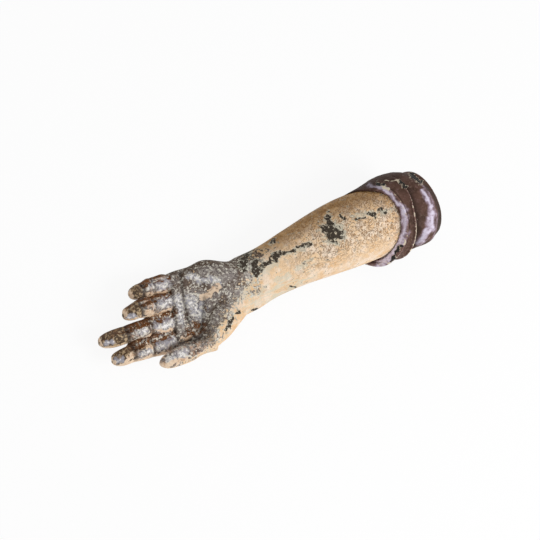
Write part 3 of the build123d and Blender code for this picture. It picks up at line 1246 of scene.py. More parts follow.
@dataclass(frozen=True)
class HandDirtShadeAndSheen:
    """Dark handled coat with stains, painted shade on its edges, fingertips and the fingers' sides, painted
    highlights on the smooth-worn pads, and scratched flecks.
    """

    dark: Colour = paint(98, 82, 72)
    dark_grey: Colour = paint(138, 129, 125)
    black: Colour = paint(44, 36, 32)
    # Painted shade and dirt on the hand's edge on the little finger's side, and dirt at the wrist
    soot_and_shade: Colour = paint(78, 60, 44)
    # Dark last segments of the fingers, from dirt and painted shade, mottled with tan wear
    tip: Colour = paint(78, 61, 43)
    tip_tan: Colour = paint(194, 168, 132)
    thin: Colour = paint(200, 164, 138)
    # Painted highlights: a bluish reflection on the smooth-worn pads and palm, and white glints
    sheen: Colour = paint(180, 179, 190)
    glint: Colour = paint(242, 238, 238)
    # Warm brown: a patch by the thumb's web, and painted shade on the fingers' sides away from the lamp
    rust_and_shade: Colour = paint(116, 74, 42)
    rust_and_shade_dark: Colour = paint(64, 43, 29)
    fleck: Colour = paint(230, 224, 210)
    grey_patches: Run = Run(0.35, 0.65)
    tip_patches: Run = Run(0.47, 0.6)
    rust_and_shade_patches: Run = Run(0.42, 0.66)
    thin_tear: Tear = Tear(1.8, 0.55, 0.16)
    rust_and_shade_tear: Tear = Tear(0.7, 0.45, 0.22)
    sheen_tear: Tear = Tear(2.0, 0.46, 0.24)
    sheen_share: float = 0.75
    cluster_tear: Tear = Tear(1.4, 0.55, 0.2)
    scratch_vein: Vein = Vein(0.42, 0.045)
    scratch_share: float = 0.6
    hair_vein: Vein = Vein(0.52, 0.065)
    hair_patches: Run = Run(0.42, 0.56)
    hair_share: float = 0.4
    dot_tear: Tear = Tear(1.9, 0.78, 0.09)
    dot_share: float = 0.85
    glint_tear: Tear = Tear(2.6, 0.78, 0.14)
    glint_strength: float = 0.7

    def lay(self, bench: Bench) -> tuple[Socket, Socket]:
        """Lays the coat.

        Args:
            bench: The material.

        Returns:
            The colour and the share of painted highlight on the smooth-worn paint.
        """
        dirt = bench.over(bench.step(bench.clouds, self.grey_patches), self.dark, self.dark_grey)
        # Painted shade and dirt on the hand's edge on the little finger's side, and dirt at the wrist
        dirt = bench.over(bench.mask("soot_and_shade"), dirt, self.soot_and_shade)
        dirt = bench.over(bench.torn("thin", bench.crumbs, self.thin_tear), dirt, self.thin)
        # Dark last segments of the fingers, from dirt and painted shade, mottled with tan wear
        tip = bench.over(bench.step(bench.grit, self.tip_patches), self.tip, self.tip_tan)
        dirt = bench.over(bench.mask("tip"), dirt, tip)
        # Warm brown: the patch by the thumb's web, and painted shade on the fingers' sides away from the
        # lamp
        rust_and_shade = bench.over(bench.step(bench.crumbs, self.rust_and_shade_patches), self.rust_and_shade, self.rust_and_shade_dark)
        dirt = bench.over(bench.torn("rust_and_shade", bench.clouds, self.rust_and_shade_tear), dirt, rust_and_shade)
        # Painted highlight on the smooth-worn pads and palm
        shine = bench.torn("sheen", bench.crumbs, self.sheen_tear)
        dirt = bench.over(shine, dirt, self.sheen, self.sheen_share)
        clustered = bench.torn("flecked", bench.clouds, self.cluster_tear)
        scratches = bench.times(bench.lines(bench.squiggle, self.scratch_vein), clustered)
        dirt = bench.over(scratches, dirt, self.black, self.scratch_share)
        hairs = bench.times(
            bench.lines(bench.squiggle, self.hair_vein), bench.step(bench.crumbs, self.hair_patches)
        )
        dots = bench.torn("flecked", bench.grit, self.dot_tear)
        flecks = bench.most(
            bench.times(hairs, clustered, self.hair_share), bench.times(dots, self.dot_share)
        )
        dirt = bench.over(flecks, dirt, self.fleck)
        # Painted glints at the highlight's heart
        glints = bench.torn("sheen", bench.grit, self.glint_tear, self.glint_strength)
        return bench.over(glints, dirt, self.glint), shine


@dataclass(frozen=True)
class ArmPaint:
    """Flesh paint on gesso, flaked to the dark wood, blackened by handling on the hand and rubbed bare."""

    coat: FleshCoat = FleshCoat()
    hand: HandDirtShadeAndSheen = HandDirtShadeAndSheen()
    stain: Colour = paint(160, 130, 90)
    gesso: Colour = paint(208, 206, 188)
    wood: Colour = paint(68, 60, 51)
    bare: Colour = paint(240, 214, 186)
    bare_brown: Colour = paint(196, 156, 122)
    grain_cloud: Cloud = Cloud(size=3.0, detail=4.0, rough=0.65, warp=0.4)
    grain_stretch: tuple = (0.16, 1.0, 1.0)  # the brush went along the arm
    streak_tear: Tear = Tear(2.0, 0.72, 0.14)
    streak_share: float = 0.7
    stain_tear: Tear = Tear(-2.4, 0.8, 0.14)
    stain_share: float = 0.25
    ground_tear: Tear = Tear(2.2, 0.58, 0.14)
    ground_share: float = 0.55
    speckle_shares: tuple = (0.45, 0.55)  # of twisted patches and of grains
    halo_tear: Tear = Tear(3.6, 0.34, 0.1)
    halo_share: float = 0.6
    grime_tear: Tear = Tear(3.6, 0.5, 0.08)
    rim_tear: Tear = Tear(1.7, 0.34, 0.12)
    rim_share: float = 0.5
    flake_tear: Tear = Tear(1.9, 0.52, 0.05)
    flake_grains: Run = Run(0.62, 0.55)
    bare_tear: Tear = Tear(1.8, 0.52, 0.12)
    bare_patches: Run = Run(0.48, 0.7)
    bare_share: float = 0.9
    # share of painted shade in the carved creases and the palm's lines
    crease_share: float = 0.65
    rough_paint: float = 0.55
    rough_dirt: float = 0.5
    rough_sheen: float = 0.34
    rough_ground: float = 0.75
    rises: tuple = (-0.4, 0.3, -0.6, -0.15, 0.25, 0.3)  # of pits, crests, flakes, gesso, grit and crumbs
    depth: float = 0.5

    def grounded(self, bench: Bench, colour: Socket, speckle: Socket) -> tuple[Socket, Socket]:
        """Lays stains on the flesh paint and wears it to the gesso.

        Args:
            bench: The material.
            colour: The paint's colour.
            speckle: Pattern of the dirt's edge.

        Returns:
            The colour and the gesso's share.
        """
        grain = bench.noise(self.grain_cloud, bench.stretched(self.grain_stretch))
        stains = bench.torn("streak", grain, self.stain_tear)
        colour = bench.over(stains, colour, self.stain, self.stain_share)
        streaks = bench.torn("streak", grain, self.streak_tear)
        ground = bench.torn("gesso", bench.grit, self.ground_tear)
        halo = bench.torn("grime", speckle, self.halo_tear)
        ground = bench.most(ground, bench.times(halo, self.halo_share))
        ground = bench.most(bench.times(streaks, self.streak_share), bench.times(ground, self.ground_share))
        return bench.over(ground, colour, self.gesso), ground

    def worn(self, bench: Bench, colour: Socket) -> tuple[Socket, Socket]:
        """Flakes the coats to the wood and rubs them bare.

        Args:
            bench: The material.
            colour: The coats' colour.

        Returns:
            The colour and the flakes.
        """
        rim = bench.torn("chip", bench.grit, self.rim_tear)
        colour = bench.over(rim, colour, self.gesso, self.rim_share)
        flake = bench.torn("chip", bench.crumbs, self.flake_tear)
        flake = bench.times(flake, bench.step(bench.grit, self.flake_grains))
        colour = bench.over(flake, colour, self.wood)
        rubbed = bench.torn("bare", bench.grit, self.bare_tear)
        bare = bench.over(bench.step(bench.crumbs, self.bare_patches), self.bare, self.bare_brown)
        return bench.over(rubbed, colour, bare, self.bare_share), flake

    def build(self) -> bpy.types.Material:
        """Lays the layers over each other, from the paint to the flakes.

        Returns:
            The material.
        """
        bench = Bench("aged_flesh_paint")
        twisted, grains = self.speckle_shares
        speckle = bench.math("ADD", bench.times(bench.squiggle, twisted), bench.times(bench.grit, grains))
        colour, pits, crests = self.coat.lay(bench)
        colour, ground = self.grounded(bench, colour, speckle)
        dirt, shine = self.hand.lay(bench)
        black = bench.torn("grime", speckle, self.grime_tear)
        colour, flake = self.worn(bench, bench.over(black, colour, dirt))
        # Painted shade in the carved creases and the palm's lines
        colour = bench.over(bench.mask("crease"), colour, self.hand.black, self.crease_share)
        colour = bench.over(bench.mask("sawn"), colour, SawnWood().colour(bench))

        rough = bench.between(shine, self.rough_dirt, self.rough_sheen)
        rough = bench.between(black, self.rough_paint, rough)
        rough = bench.between(bench.most(ground, flake), rough, self.rough_ground)
        layers = (pits, crests, flake, ground, bench.grit, bench.crumbs)
        height = bench.relief(layers, self.rises)
        return bench.finish(colour, rough, height, self.depth)


@dataclass(frozen=True)
class SleevePaint:
    """Mauve-brown paint, rubbed rosy and lavender on the folds, with painted highlights on the lip and the
    crest and painted shade in its hollows, chipped to cream ground and black wood.
    """

    mauve: Colour = paint(102, 75, 65)
    brown: Colour = paint(72, 52, 42)
    rosy: Colour = paint(128, 97, 90)
    tan: Colour = paint(138, 114, 98)
    # Painted shade for the hollows, the valley, the rear rim, the far side and the bore
    deep: Colour = paint(46, 33, 27)
    # Lavender of the rubbed paint, brightened into painted highlights, and lilac painted glints
    lavender: Colour = paint(188, 168, 186)
    lilac: Colour = paint(228, 220, 238)
    cream: Colour = paint(222, 208, 184)
    wood: Colour = paint(46, 44, 42)
    brown_patches: Run = Run(0.35, 0.68)
    rosy_patches: Run = Run(0.5, 0.68, 0.5)
    tan_patches: Run = Run(0.54, 0.7, 0.4)
    rub_tear: Tear = Tear(1.4, 0.55, 0.2)
    rub_share: float = 0.6
    sheen_tear: Tear = Tear(1.0, 0.46, 0.42)
    sheen_share: float = 0.9
    glint_tear: Tear = Tear(1.6, 0.74, 0.3)
    glint_share: float = 0.9
    shade_share: float = 0.85
    speck_tear: Tear = Tear(1.6, 1.1, 0.06)
    ground_tear: Tear = Tear(1.8, 0.52, 0.08)
    rim_tear: Tear = Tear(1.8, 0.42, 0.08)
    rim_share: float = 0.6
    flake_tear: Tear = Tear(1.8, 0.52, 0.04)
    rough_paint: float = 0.62
    rough_sheen: float = 0.42
    rises: tuple = (-0.6, 0.3, 0.15)  # of flakes, crumbs and grit
    depth: float = 0.4

    def build(self) -> bpy.types.Material:
        """Lays the layers over each other, from the paint to the chips.

        Returns:
            The material.
        """
        bench = Bench("worn_sleeve_paint")
        colour = bench.over(bench.step(bench.clouds, self.brown_patches), self.mauve, self.brown)
        colour = bench.over(bench.step(bench.crumbs, self.rosy_patches), colour, self.rosy)
        colour = bench.over(bench.step(bench.grit, self.tan_patches), colour, self.tan)
        rub = bench.torn("rub", bench.crumbs, self.rub_tear)
        colour = bench.over(rub, colour, self.rosy, self.rub_share)
        # Painted highlights on the lip and the crest over the rubbed lavender paint, with lilac painted
        # glints
        shine = bench.torn("sheen", bench.crumbs, self.sheen_tear)
        colour = bench.over(shine, colour, self.lavender, self.sheen_share)
        glint = bench.torn("sheen", bench.crumbs, self.glint_tear)
        colour = bench.over(glint, colour, self.lilac, self.glint_share)
        # Painted shade in the hollows, the valley, the rear rim, the far side and the bore
        colour = bench.over(bench.mask("dirt"), colour, self.deep, self.shade_share)
        specks = bench.torn("rub", bench.grit, self.speck_tear)
        rim = bench.torn("chip", bench.grit, self.rim_tear)
        ground = bench.torn("bare", bench.grit, self.ground_tear)
        ground = bench.most(ground, bench.times(bench.most(rim, specks), self.rim_share))
        colour = bench.over(ground, colour, self.cream)
        flake = bench.torn("chip", bench.crumbs, self.flake_tear)
        colour = bench.over(flake, colour, self.wood)
        colour = bench.over(bench.mask("sawn"), colour, SawnWood().colour(bench))

        rough = bench.between(shine, self.rough_paint, self.rough_sheen)
        height = bench.relief((flake, bench.crumbs, bench.grit), self.rises)
        return bench.finish(colour, rough, height, self.depth)


@dataclass(frozen=True)
class BareWood:
    """Plain split wood of the dowels and pegs."""

    light: Colour = paint(190, 150, 104)
    dark: Colour = paint(140, 100, 62)
    grain_cloud: Cloud = Cloud(size=1.2, detail=4.0, rough=0.6, warp=0.3)
    grain_stretch: tuple = (0.12, 1.0, 1.0)
    grain: Run = Run(0.35, 0.7)
    rough: float = 0.6
    depth: float = 0.15

    def build(self) -> bpy.types.Material:
        """Lays fine grain along the rods.

        Returns:
            The material.
        """
        bench = Bench("dowel_wood")
        fibres = bench.noise(self.grain_cloud, bench.stretched(self.grain_stretch))
        colour = bench.over(bench.step(fibres, self.grain), self.light, self.dark)
        return bench.finish(colour, self.rough, fibres, self.depth)


def finish_pieces(pieces: Pieces, material: bpy.types.Material) -> None:
    """Dresses pieces, ties them to the arm and lets each stand for its CAD node.

    Args:
        pieces: One piece per node.
        material: Their finish.
    """
    for name, piece in pieces.items():
        piece.data.materials.clear()
        piece.data.materials.append(material)
        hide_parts(name)
        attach(piece, "root")
        log.info("%s: %d faces", piece.name, len(piece.data.polygons))


# Sub-assemblies: places are in millimetres, angles in degrees, and a side is a part of the outward way


@dataclass(frozen=True)
class Nail:
    """A nail's plate and the groove round it."""

    rise: float = 0.35
    middle: float = 0.72  # along the last segment, in shares of its length
    half_length: float = 0.28
    half_width: float = 0.36  # in shares of the finger's width
    above: tuple = (-0.30, -0.14)  # run down the finger's sides, in the same shares
    roundness: float = 2.6
    plate: Run = Run(1.0, 0.8)
    groove: Mound = Mound(1.08, 0.13, 0.5)

    def heights(self, points: np.ndarray, finger: FingerPlan) -> np.ndarray:
        """Relief of a finger's nail.

        Args:
            points: Points of the finger.
            finger: Its plan.

        Returns:
            One height per point.
        """
        way = finger.ways[2]
        out = -finger.palm_side(way)
        offset = points - finger.backs[2]
        along = (offset @ way / finger.tip_length - self.middle) / self.half_length
        aside = offset @ np.cross(way, out) / (self.half_width * finger.width)
        low, high = (share * finger.width for share in self.above)
        edge = (np.abs(along) ** self.roundness + np.abs(aside) ** self.roundness) ** (1 / self.roundness)
        relief = self.rise * self.plate(edge) - self.groove(edge)
        return relief * ease(offset @ out, low, high)


@dataclass(frozen=True)
class FingerCarving:
    """Creases, wrinkles, pads, walls and the nail of a finger."""

    nail: Nail = Nail()
    crease_depth: float = 1.3
    crease_width: float = 1.5
    wrinkle_depth: float = 0.28
    wrinkle_width: float = 0.6
    wrinkle_places: tuple = (-1.7, 0.0, 1.7)
    joint: Mound = Mound(0.0, 4.5, 0.4)
    palm_run: Run = Run(0.3, 0.7)  # in shares of the finger's depth
    back_run: Run = Run(0.3, 0.05)
    pad: Mound = Mound(0.5, 0.26, 0.8)
    pad_run: Run = Run(0.45, 0.85)
    shoulder: Mound = Mound(0.6, 0.25, 0.9)  # the pads fall away to the little finger's side
    shoulder_run: Run = Run(0.15, 0.6)
    root_run: Run = Run(-1.0, 6.0)
    wall_run: Run = Run(0.5, 0.95)
    lean_fade: float = 4.0
    web: Mound = Mound(1.0, 4.0, 1.2)  # closes the fingers' roots on each other
    bend_run: Run = Run(-4.0, 18.0)
    tip_run: tuple = (-0.15, 0.7)  # in shares of the last segment

    def joints(self, points: np.ndarray, finger: FingerPlan) -> tuple[np.ndarray, np.ndarray]:
        """Creases on the palm's side of the two joints and wrinkles on their back.

        Args:
            points: Points of the finger.
            finger: Its plan.

        Returns:
            One height per point, and how deep in a crease it is, from 0 to 1.
        """
        height = np.zeros(len(points))
        deep = np.zeros(len(points))
        for joint in (1, 2):
            way = unit(finger.ways[joint - 1] + finger.ways[joint])
            offset = points - finger.backs[joint]
            along = offset @ way
            side = offset @ finger.palm_side(way) / finger.depth
            groove = bell(along, 0.0, self.crease_width) * self.palm_run(side)
            height -= self.crease_depth * groove
            deep = np.maximum(deep, groove)
            back = self.back_run(side)
            for place in self.wrinkle_places:
                height -= self.wrinkle_depth * bell(along, place, self.wrinkle_width) * back
            height += self.joint(along) * back
        return height, deep

    def pads(self, points: np.ndarray, finger: FingerPlan) -> np.ndarray:
        """Pads of the three segments.

        Args:
            points: Points of the finger.
            finger: Its plan.

        Returns:
            One height per point.
        """
        height = np.zeros(len(points))
        for start, end, way in zip(finger.backs, finger.backs[1:], finger.ways):
            along = (points - start) @ way / np.linalg.norm(end - start)
            side = (points - start) @ finger.palm_side(way) / finger.depth
            height += self.pad(along) * self.pad_run(side)
        return height

    def walls(self, points: np.ndarray, normals: np.ndarray, finger: FingerPlan) -> np.ndarray:
        """Leaning walls, sloped shoulders and webs.

        Args:
            points: Points of the finger.
            normals: Their outward ways.
            finger: The finger's plan.

        Returns:
            One height per point.
        """
        aside, upward = normals[:, 1], normals[:, 2]
        from_root = (points - finger.seat) @ finger.ways[0]
        free = self.root_run(from_root)
        shoulder = self.shoulder(aside) * self.shoulder_run(upward)
        lean_run = (finger.lean_end + self.lean_fade, finger.lean_end - self.lean_fade)
        wall = finger.wall + finger.lean * ease(from_root, *lean_run)
        height = (wall * self.wall_run(aside) - shoulder) * free
        between = np.abs(aside)
        if finger in (FINGERS[0], FINGERS[-1]):
            between = aside * -np.sign(finger.place)
        return height + self.wall_run(between) * self.web(from_root)

    def drift(self, points: np.ndarray, finger: FingerPlan) -> np.ndarray:
        """Bends a finger to the thumb's side, narrows its tip and draws it out.

        Args:
            points: Points of the finger.
            finger: Its plan.

        Returns:
            One move per point.
        """
        way = finger.ways[2]
        across = unit(np.cross([0.0, 0.0, 1.0], way))
        offset = points - finger.backs[2]
        aside = np.clip(0.5 - offset @ across / finger.width, 0.0, 1.0)
        low, high = (share * finger.tip_length for share in self.tip_run)
        move = finger.bend * self.bend_run((points - finger.backs[1]) @ way)
        move += finger.tip_cut * aside * ease(offset @ way, low, high)
        reach = finger.tip_reach * ease(offset @ way, 0.0, finger.tip_length)
        return move[:, None] * across + reach[:, None] * way


@dataclass
class ArmWearShadeAndSheen:
    """Where the arm's paint is dirty, worn smooth, flaked or bare, and where shade and highlights are
    painted on it: one mask for each layer of the paint.
    """

    skin: Surface
    labels: np.ndarray
    names: list[str]

    BACK = Run(0.0, -0.6)
    OUTER_WAY = (0.0, -0.85, -0.5)  # to the thumb's side and down
    OUTER = Run(0.15, 0.75)

    # Dirt of handling, which ends on a slant across the wrist
    DIRT_END = -10.0
    DIRT_SLANT = 1.6
    DIRT_SHIFT = -36.0
    DIRT_FADE = Run(36.0, -22.0)
    DIRT_STROKES = 0.48
    CLEAN_DIGITS = Run(-60.0, -85.0, 0.85)
    CLEAN_BACK = 0.5

    # Coats of the hand
    TIP = Run(-2.0, 1.5)
    TIP_SHARE = 0.85
    WORN_TURN = (0.0, -0.6, -0.35)
    WORN = Run(0.6, 0.95)
    WORN_SHARE = 0.5
    # Painted shade and dirt on the hand's edge on the little finger's side
    LITTLE_EDGE = Run(0.3, 0.85, 0.85)
    WRIST_RUN = Run(-22.0, 2.0)
    WRIST_SHARE = 0.8
    THIN_SHARE = 0.5
    # Painted shade on the fingers' sides that face the little finger, away from the lamp
    FINGER_SHADE_SIDE = Run(0.05, 0.5, 0.9)
    RUST_AND_SHADE_OFF_TIPS = 0.55
    FLECKS = 0.62
    FLECKS_ON_SHEEN = 0.2
    FLECKS_OFF_TIPS = 0.3
    FLECKS_OFF_BACK = 0.2
    FLECKS_OFF_WRIST = 0.58
    FLECKS_OFF_RUST_AND_SHADE = 0.2

    # Coats of the forearm
    SHADE_SIDE = Run(0.1, 0.85, 0.95)
    COLLAR_ALONG = Run(92.0, 108.0, 0.5)
    COLLAR_ACROSS = Run(0.0, 22.0)
    PITS_ALONG = Run(-5.0, 45.0)
    PITS_SIDE = Run(-0.95, -0.2)
    PITS_LEAST = 0.2
    STREAK_SIDE = Run(0.1, -0.5, 0.65)
    STREAK_START = Run(75.0, 10.0)
    STREAK_END = Run(-75.0, -30.0)
    GESSO_OUTER = 0.42
    GESSO_EDGE = Mound(6.0, 8.0, 0.3)  # beside the dirt's end

    # Losses
    WEAR_SIZE = 16.0
    WEAR_STRETCH = (1.8, 1.0, 1.0)
    WEAR = Run(0.28, 0.62, 0.6)
    BORE_RADIUS = 9.5
    BORE_DEPTH = 45.5
    SAWN_FACING = 0.6

    def __post_init__(self) -> None:
        """Works out what the masks share."""
        self.x, self.y = self.skin.points.T[:2]
        self.aside = self.skin.normals[:, 1]
        self.marks = self.skin.stroke_masks(ARM_STROKES)
        self.digit = ~self.on("forearm", "palm")
        self.under = self.BACK(self.skin.normals[:, 2])
        self.outer = self.OUTER(self.skin.normals @ np.array(self.OUTER_WAY))
        self.dirt_end = np.minimum(self.DIRT_END, self.DIRT_SLANT * self.y + self.DIRT_SHIFT)

    def on(self, *nodes: str) -> np.ndarray:
        """Which points lie on one of these nodes."""
        return np.isin(self.labels, [self.names.index(node) for node in nodes])

    def handled(self) -> None:
        """Masks the dirt of handling."""
        dirt = self.DIRT_FADE(self.x - self.dirt_end)
        dirt *= 1 - self.outer * self.CLEAN_DIGITS(self.x)
        dirt *= 1 - self.CLEAN_BACK * self.under
        self.skin.mask("grime", np.maximum(dirt, self.DIRT_STROKES * self.marks[Mark.GRIME]))

    def fingertips(self) -> tuple[np.ndarray, np.ndarray]:
        """Finds the last segments of the fingers.

        Returns:
            Shares of the tips, and of the ends that rubbing wore.
        """
        tips = np.zeros(self.skin.count)
        worn = np.zeros(self.skin.count)
        for finger in FINGERS:
            own = self.on(finger.node)
            past = (self.skin.points[own] - finger.backs[2]) @ finger.ways[2]
            tips[own] = self.TIP(past)
            outward = unit(finger.ways[2] + np.array(self.WORN_TURN))
            worn[own] = self.WORN(self.skin.normals[own] @ outward) * tips[own]
        return tips, worn

    def hand(self, tips: np.ndarray) -> None:
        """Masks the coats of the hand, with its painted shade and painted highlights.

        Args:
            tips: Shares of the fingertips.
        """
        skin = self.skin
        sheen = self.marks[Mark.SHEEN]
        little_edge = self.LITTLE_EDGE(self.aside) * ~self.digit
        wrist = self.WRIST_RUN(self.x) * ~self.digit
        skin.mask("soot_and_shade", np.maximum(little_edge, self.WRIST_SHARE * wrist))
        skin.mask("tip", self.TIP_SHARE * tips)
        skin.mask("thin", self.THIN_SHARE * self.digit * (1 - tips))
        # Painted shade in warm brown on the fingers' sides away from the lamp, with the stroked brown
        # patches
        rust_and_shade = self.FINGER_SHADE_SIDE(self.aside) * (self.digit & ~self.on("thumb"))
        skin.mask("rust_and_shade", np.maximum(self.marks[Mark.RUST_AND_SHADE], rust_and_shade) * (1 - self.RUST_AND_SHADE_OFF_TIPS * tips))
        # Painted highlights on the pads and the palm
        skin.mask("sheen", sheen)
        flecks = self.FLECKS + self.FLECKS_ON_SHEEN * sheen - self.FLECKS_OFF_TIPS * tips
        flecks -= self.FLECKS_OFF_BACK * self.under + self.FLECKS_OFF_WRIST * wrist
        skin.mask("flecked", flecks - self.FLECKS_OFF_RUST_AND_SHADE * rust_and_shade)

    def forearm(self) -> None:
        """Masks the coats of the forearm."""
        skin = self.skin
        collar = self.COLLAR_ALONG(self.x) * self.COLLAR_ACROSS(self.y)
        skin.mask("shade", np.maximum(self.SHADE_SIDE(self.aside), collar))
        pits = self.PITS_ALONG(self.x) * self.PITS_SIDE(self.aside)
        skin.mask("pitted", self.PITS_LEAST + (1 - self.PITS_LEAST) * pits)
        streak = self.STREAK_START(self.x) * self.STREAK_END(self.x)
        skin.mask("streak", self.STREAK_SIDE(self.aside) * streak)
        gesso = self.GESSO_OUTER * self.outer * self.digit
        gesso += self.GESSO_EDGE(self.x - self.dirt_end)
        skin.mask("gesso", np.maximum(self.marks[Mark.GESSO], gesso))

    def losses(self, worn: np.ndarray) -> None:
        """Masks flakes, bare wood and the sawn end with its bore.

        Args:
            worn: Shares of the fingertips' worn ends.
        """
        skin = self.skin
        wear = self.WEAR(skin.ripple(self.WEAR_SIZE, self.WEAR_STRETCH))
        skin.mask("chip", np.maximum(self.marks[Mark.CHIP], wear * self.under))
        skin.mask("bare", np.maximum(self.marks[Mark.BARE], self.WORN_SHARE * worn))
        bore = np.linalg.norm((skin.points - SLEEVE_AXIS)[:, 1:], axis=1) < self.BORE_RADIUS
        sawn = (skin.normals[:, 0] > self.SAWN_FACING) | bore
        skin.mask("sawn", (sawn & (self.x > SAWN_END[0] - self.BORE_DEPTH)).astype(float))

    def store(self, crease: np.ndarray) -> None:
        """Stores all the masks on the mesh.

        Args:
            crease: How deep in a carved crease each point is.
        """
        tips, worn = self.fingertips()
        self.handled()
        self.hand(tips)
        self.skin.mask("crease", crease)
        self.forearm()
        self.losses(worn)


@dataclass
class Arm:
    """The forearm and the hand, painted as one skin over their blocks."""

    finger: FingerCarving = FingerCarving()
    voxel: float = 0.72
    smoothing: int = 4
    overlap: float = 2.0  # roots run this far into the block that holds them
    root_share: float = 0.7  # of a crease's depth, at the fingers' roots
    # share of painted shade in the crease along the fingers' roots
    root_shade: float = 0.45
    line_depth: float = 1.1  # lines of the palm
    line_width: float = 1.7
    knuckle: Mound = Mound(0.0, 6.5, 1.3)
    tendon: Mound = Mound(0.0, 2.6, 0.7)
    tendon_reach: float = 0.65  # of the way from a knuckle to the wrist
    carving: float = 0.22  # waviness that the knife left
    cover: float = 0.5  # of paint and wood over the dowels

    HOLE_RADIUS = 2.65  # of the thumb's dowel hole
    HOLE_REACH = 11.15  # from the thumb's seat to the hole's end
    WEB_STEP = (7.8, 0.0, -12.0)  # from the thumb's seat to the back end of its web
    WEB_BLEND = Mound(0.0, 11.0)
    WEB_ROUNDS = 160
    KNUCKLE_BLEND = Mound(0.0, 7.0)
    KNUCKLE_BACK = Run(12.0, 6.0)  # heights over the table
    KNUCKLE_ROUNDS = 110
    ROOT_PALM = Run(11.0, 17.0)  # heights where the roots' crease shows
    LITTLE_SIDE = Run(0.2, 0.8)
    THUMB_SIDE = Run(-0.2, -0.8)
    BACK = Run(-0.2, -0.7)
    TENDONS_MEET = (6.0, 0.0, 0.0)  # from the wrist's middle
    WAVES = ((1.0, 11.0, (1.8, 1.0, 1.0)), (0.5, 5.0, (2.2, 1.0, 1.0)))  # shares, sizes, stretches

    # Cuts off the hand's edge behind the little finger and off the thumb's, by pixels across the photograph
    EDGE_PIXELS = Mound(188.0, 11.0, 2.0)
    THUMB_PIXELS = Mound(196.0, 20.0, 2.0)
    # Starts, ends and depths of the palm's lines, by the photograph's pixels
    PALM_LINES = (
        ((180.0, 271.7), (183.5, 296.0), 1.0),
        ((183.5, 296.0), (188.7, 321.6), 1.0),
        ((204.0, 297.7), (202.8, 320.0), 0.8),
        ((202.8, 320.0), (201.7, 336.0), 0.8),
        ((201.7, 336.0), (191.5, 341.3), 1.0),
        ((191.5, 341.3), (181.7, 343.0), 1.0),
        ((181.7, 343.0), (171.0, 347.5), 0.7),
    )

    @property
    def names(self) -> list[str]:
        """The nodes under the skin."""
        return ["forearm", "palm", "thumb", *(finger.node for finger in FINGERS)]

    @property
    def dowels(self) -> list[str]:
        """The nodes of the dowels in the joints."""
        return ["wrist_dowels", "thumb_dowel", *(f"{finger.name}_dowel" for finger in FINGERS)]

    def on(self, labels: np.ndarray, name: str) -> np.ndarray:
        """Which points lie on a node."""
        return labels == self.names.index(name)

    def plug(self, palm: bmesh.types.BMesh) -> None:
        """Closes the thumb's dowel hole, so that the skin runs over it.

        Args:
            palm: The palm's copy.
        """
        palm.verts.index_update()
        reach = THUMB.way * self.HOLE_REACH
        places = np.array([vert.co for vert in palm.verts]) / MM
        wall = line_distance(places, THUMB.seat - reach, THUMB.seat + reach) < self.HOLE_RADIUS
        hole = [face for face in palm.faces if all(wall[vert.index] for vert in face.verts)]
        bmesh.ops.delete(palm, geom=hole, context="FACES")
        rims = [edge for edge in palm.edges if edge.is_boundary]
        bmesh.ops.holes_fill(palm, edges=rims, sides=0)

    def draft(self) -> bpy.types.Mesh:
        """Puts the blocks together, each root run into the block that holds it.

        Returns:
            One mesh of all of them.
        """
        parts = {name: copied(name) for name in self.names}
        self.plug(parts["palm"])
        run_in(parts["palm"], WRIST, (-1.0, 0.0, 0.0), self.overlap)
        run_in(parts["thumb"], THUMB.seat, THUMB.way, self.overlap)
        for finger in FINGERS:
            run_in(parts[finger.node], finger.seat, pointing(finger.KNUCKLE_SLANT), self.overlap)
        return joined("arm_draft", list(parts.values()))

    def past_roots(self, skin: Surface) -> np.ndarray:
        """How far each point lies beyond the line of the fingers' roots."""
        return (skin.points - FINGERS[0].seat) @ pointing(FingerPlan.KNUCKLE_SLANT)

    def round_off(self, skin: Surface) -> None:
        """Takes the step off the thumb's web and the corners off the knuckles' back.

        Args:
            skin: The arm's skin.
        """
        step = np.linalg.norm(skin.points - THUMB.seat - np.array(self.WEB_STEP), axis=1)
        skin.even_out(self.WEB_BLEND(step), self.WEB_ROUNDS)
        knuckles = self.KNUCKLE_BLEND(self.past_roots(skin))
        skin.even_out(knuckles * self.KNUCKLE_BACK(skin.points[:, 2]), self.KNUCKLE_ROUNDS)

    def sculpt_fingers(self, skin: Surface, labels: np.ndarray) -> np.ndarray:
        """Carves the fingers and the crease along their roots.

        Args:
            skin: The arm's skin.
            labels: Each point's node.

        Returns:
            How deep in a crease each point is, from 0 to 1.
        """
        height = np.zeros(skin.count)
        drift = np.zeros((skin.count, 3))
        # Depth in the creases, which the paint darkens as painted shade
        dirt = np.zeros(skin.count)
        for finger in FINGERS:
            own = self.on(labels, finger.node)
            points = skin.points[own]
            rise, dirt[own] = self.finger.joints(points, finger)
            rise += self.finger.pads(points, finger) + self.finger.nail.heights(points, finger)
            height[own] = rise + self.finger.walls(points, skin.normals[own], finger)
            drift[own] = self.finger.drift(points, finger)
        groove = bell(self.past_roots(skin), 0.0, self.finger.crease_width)
        groove *= self.ROOT_PALM(skin.points[:, 2])
        groove *= ~(self.on(labels, "forearm") | self.on(labels, "thumb"))
        height -= self.root_share * self.finger.crease_depth * groove
        skin.raise_by(height)
        skin.points = skin.points + drift
        skin.refresh()
        return np.maximum(dirt, self.root_shade * groove)

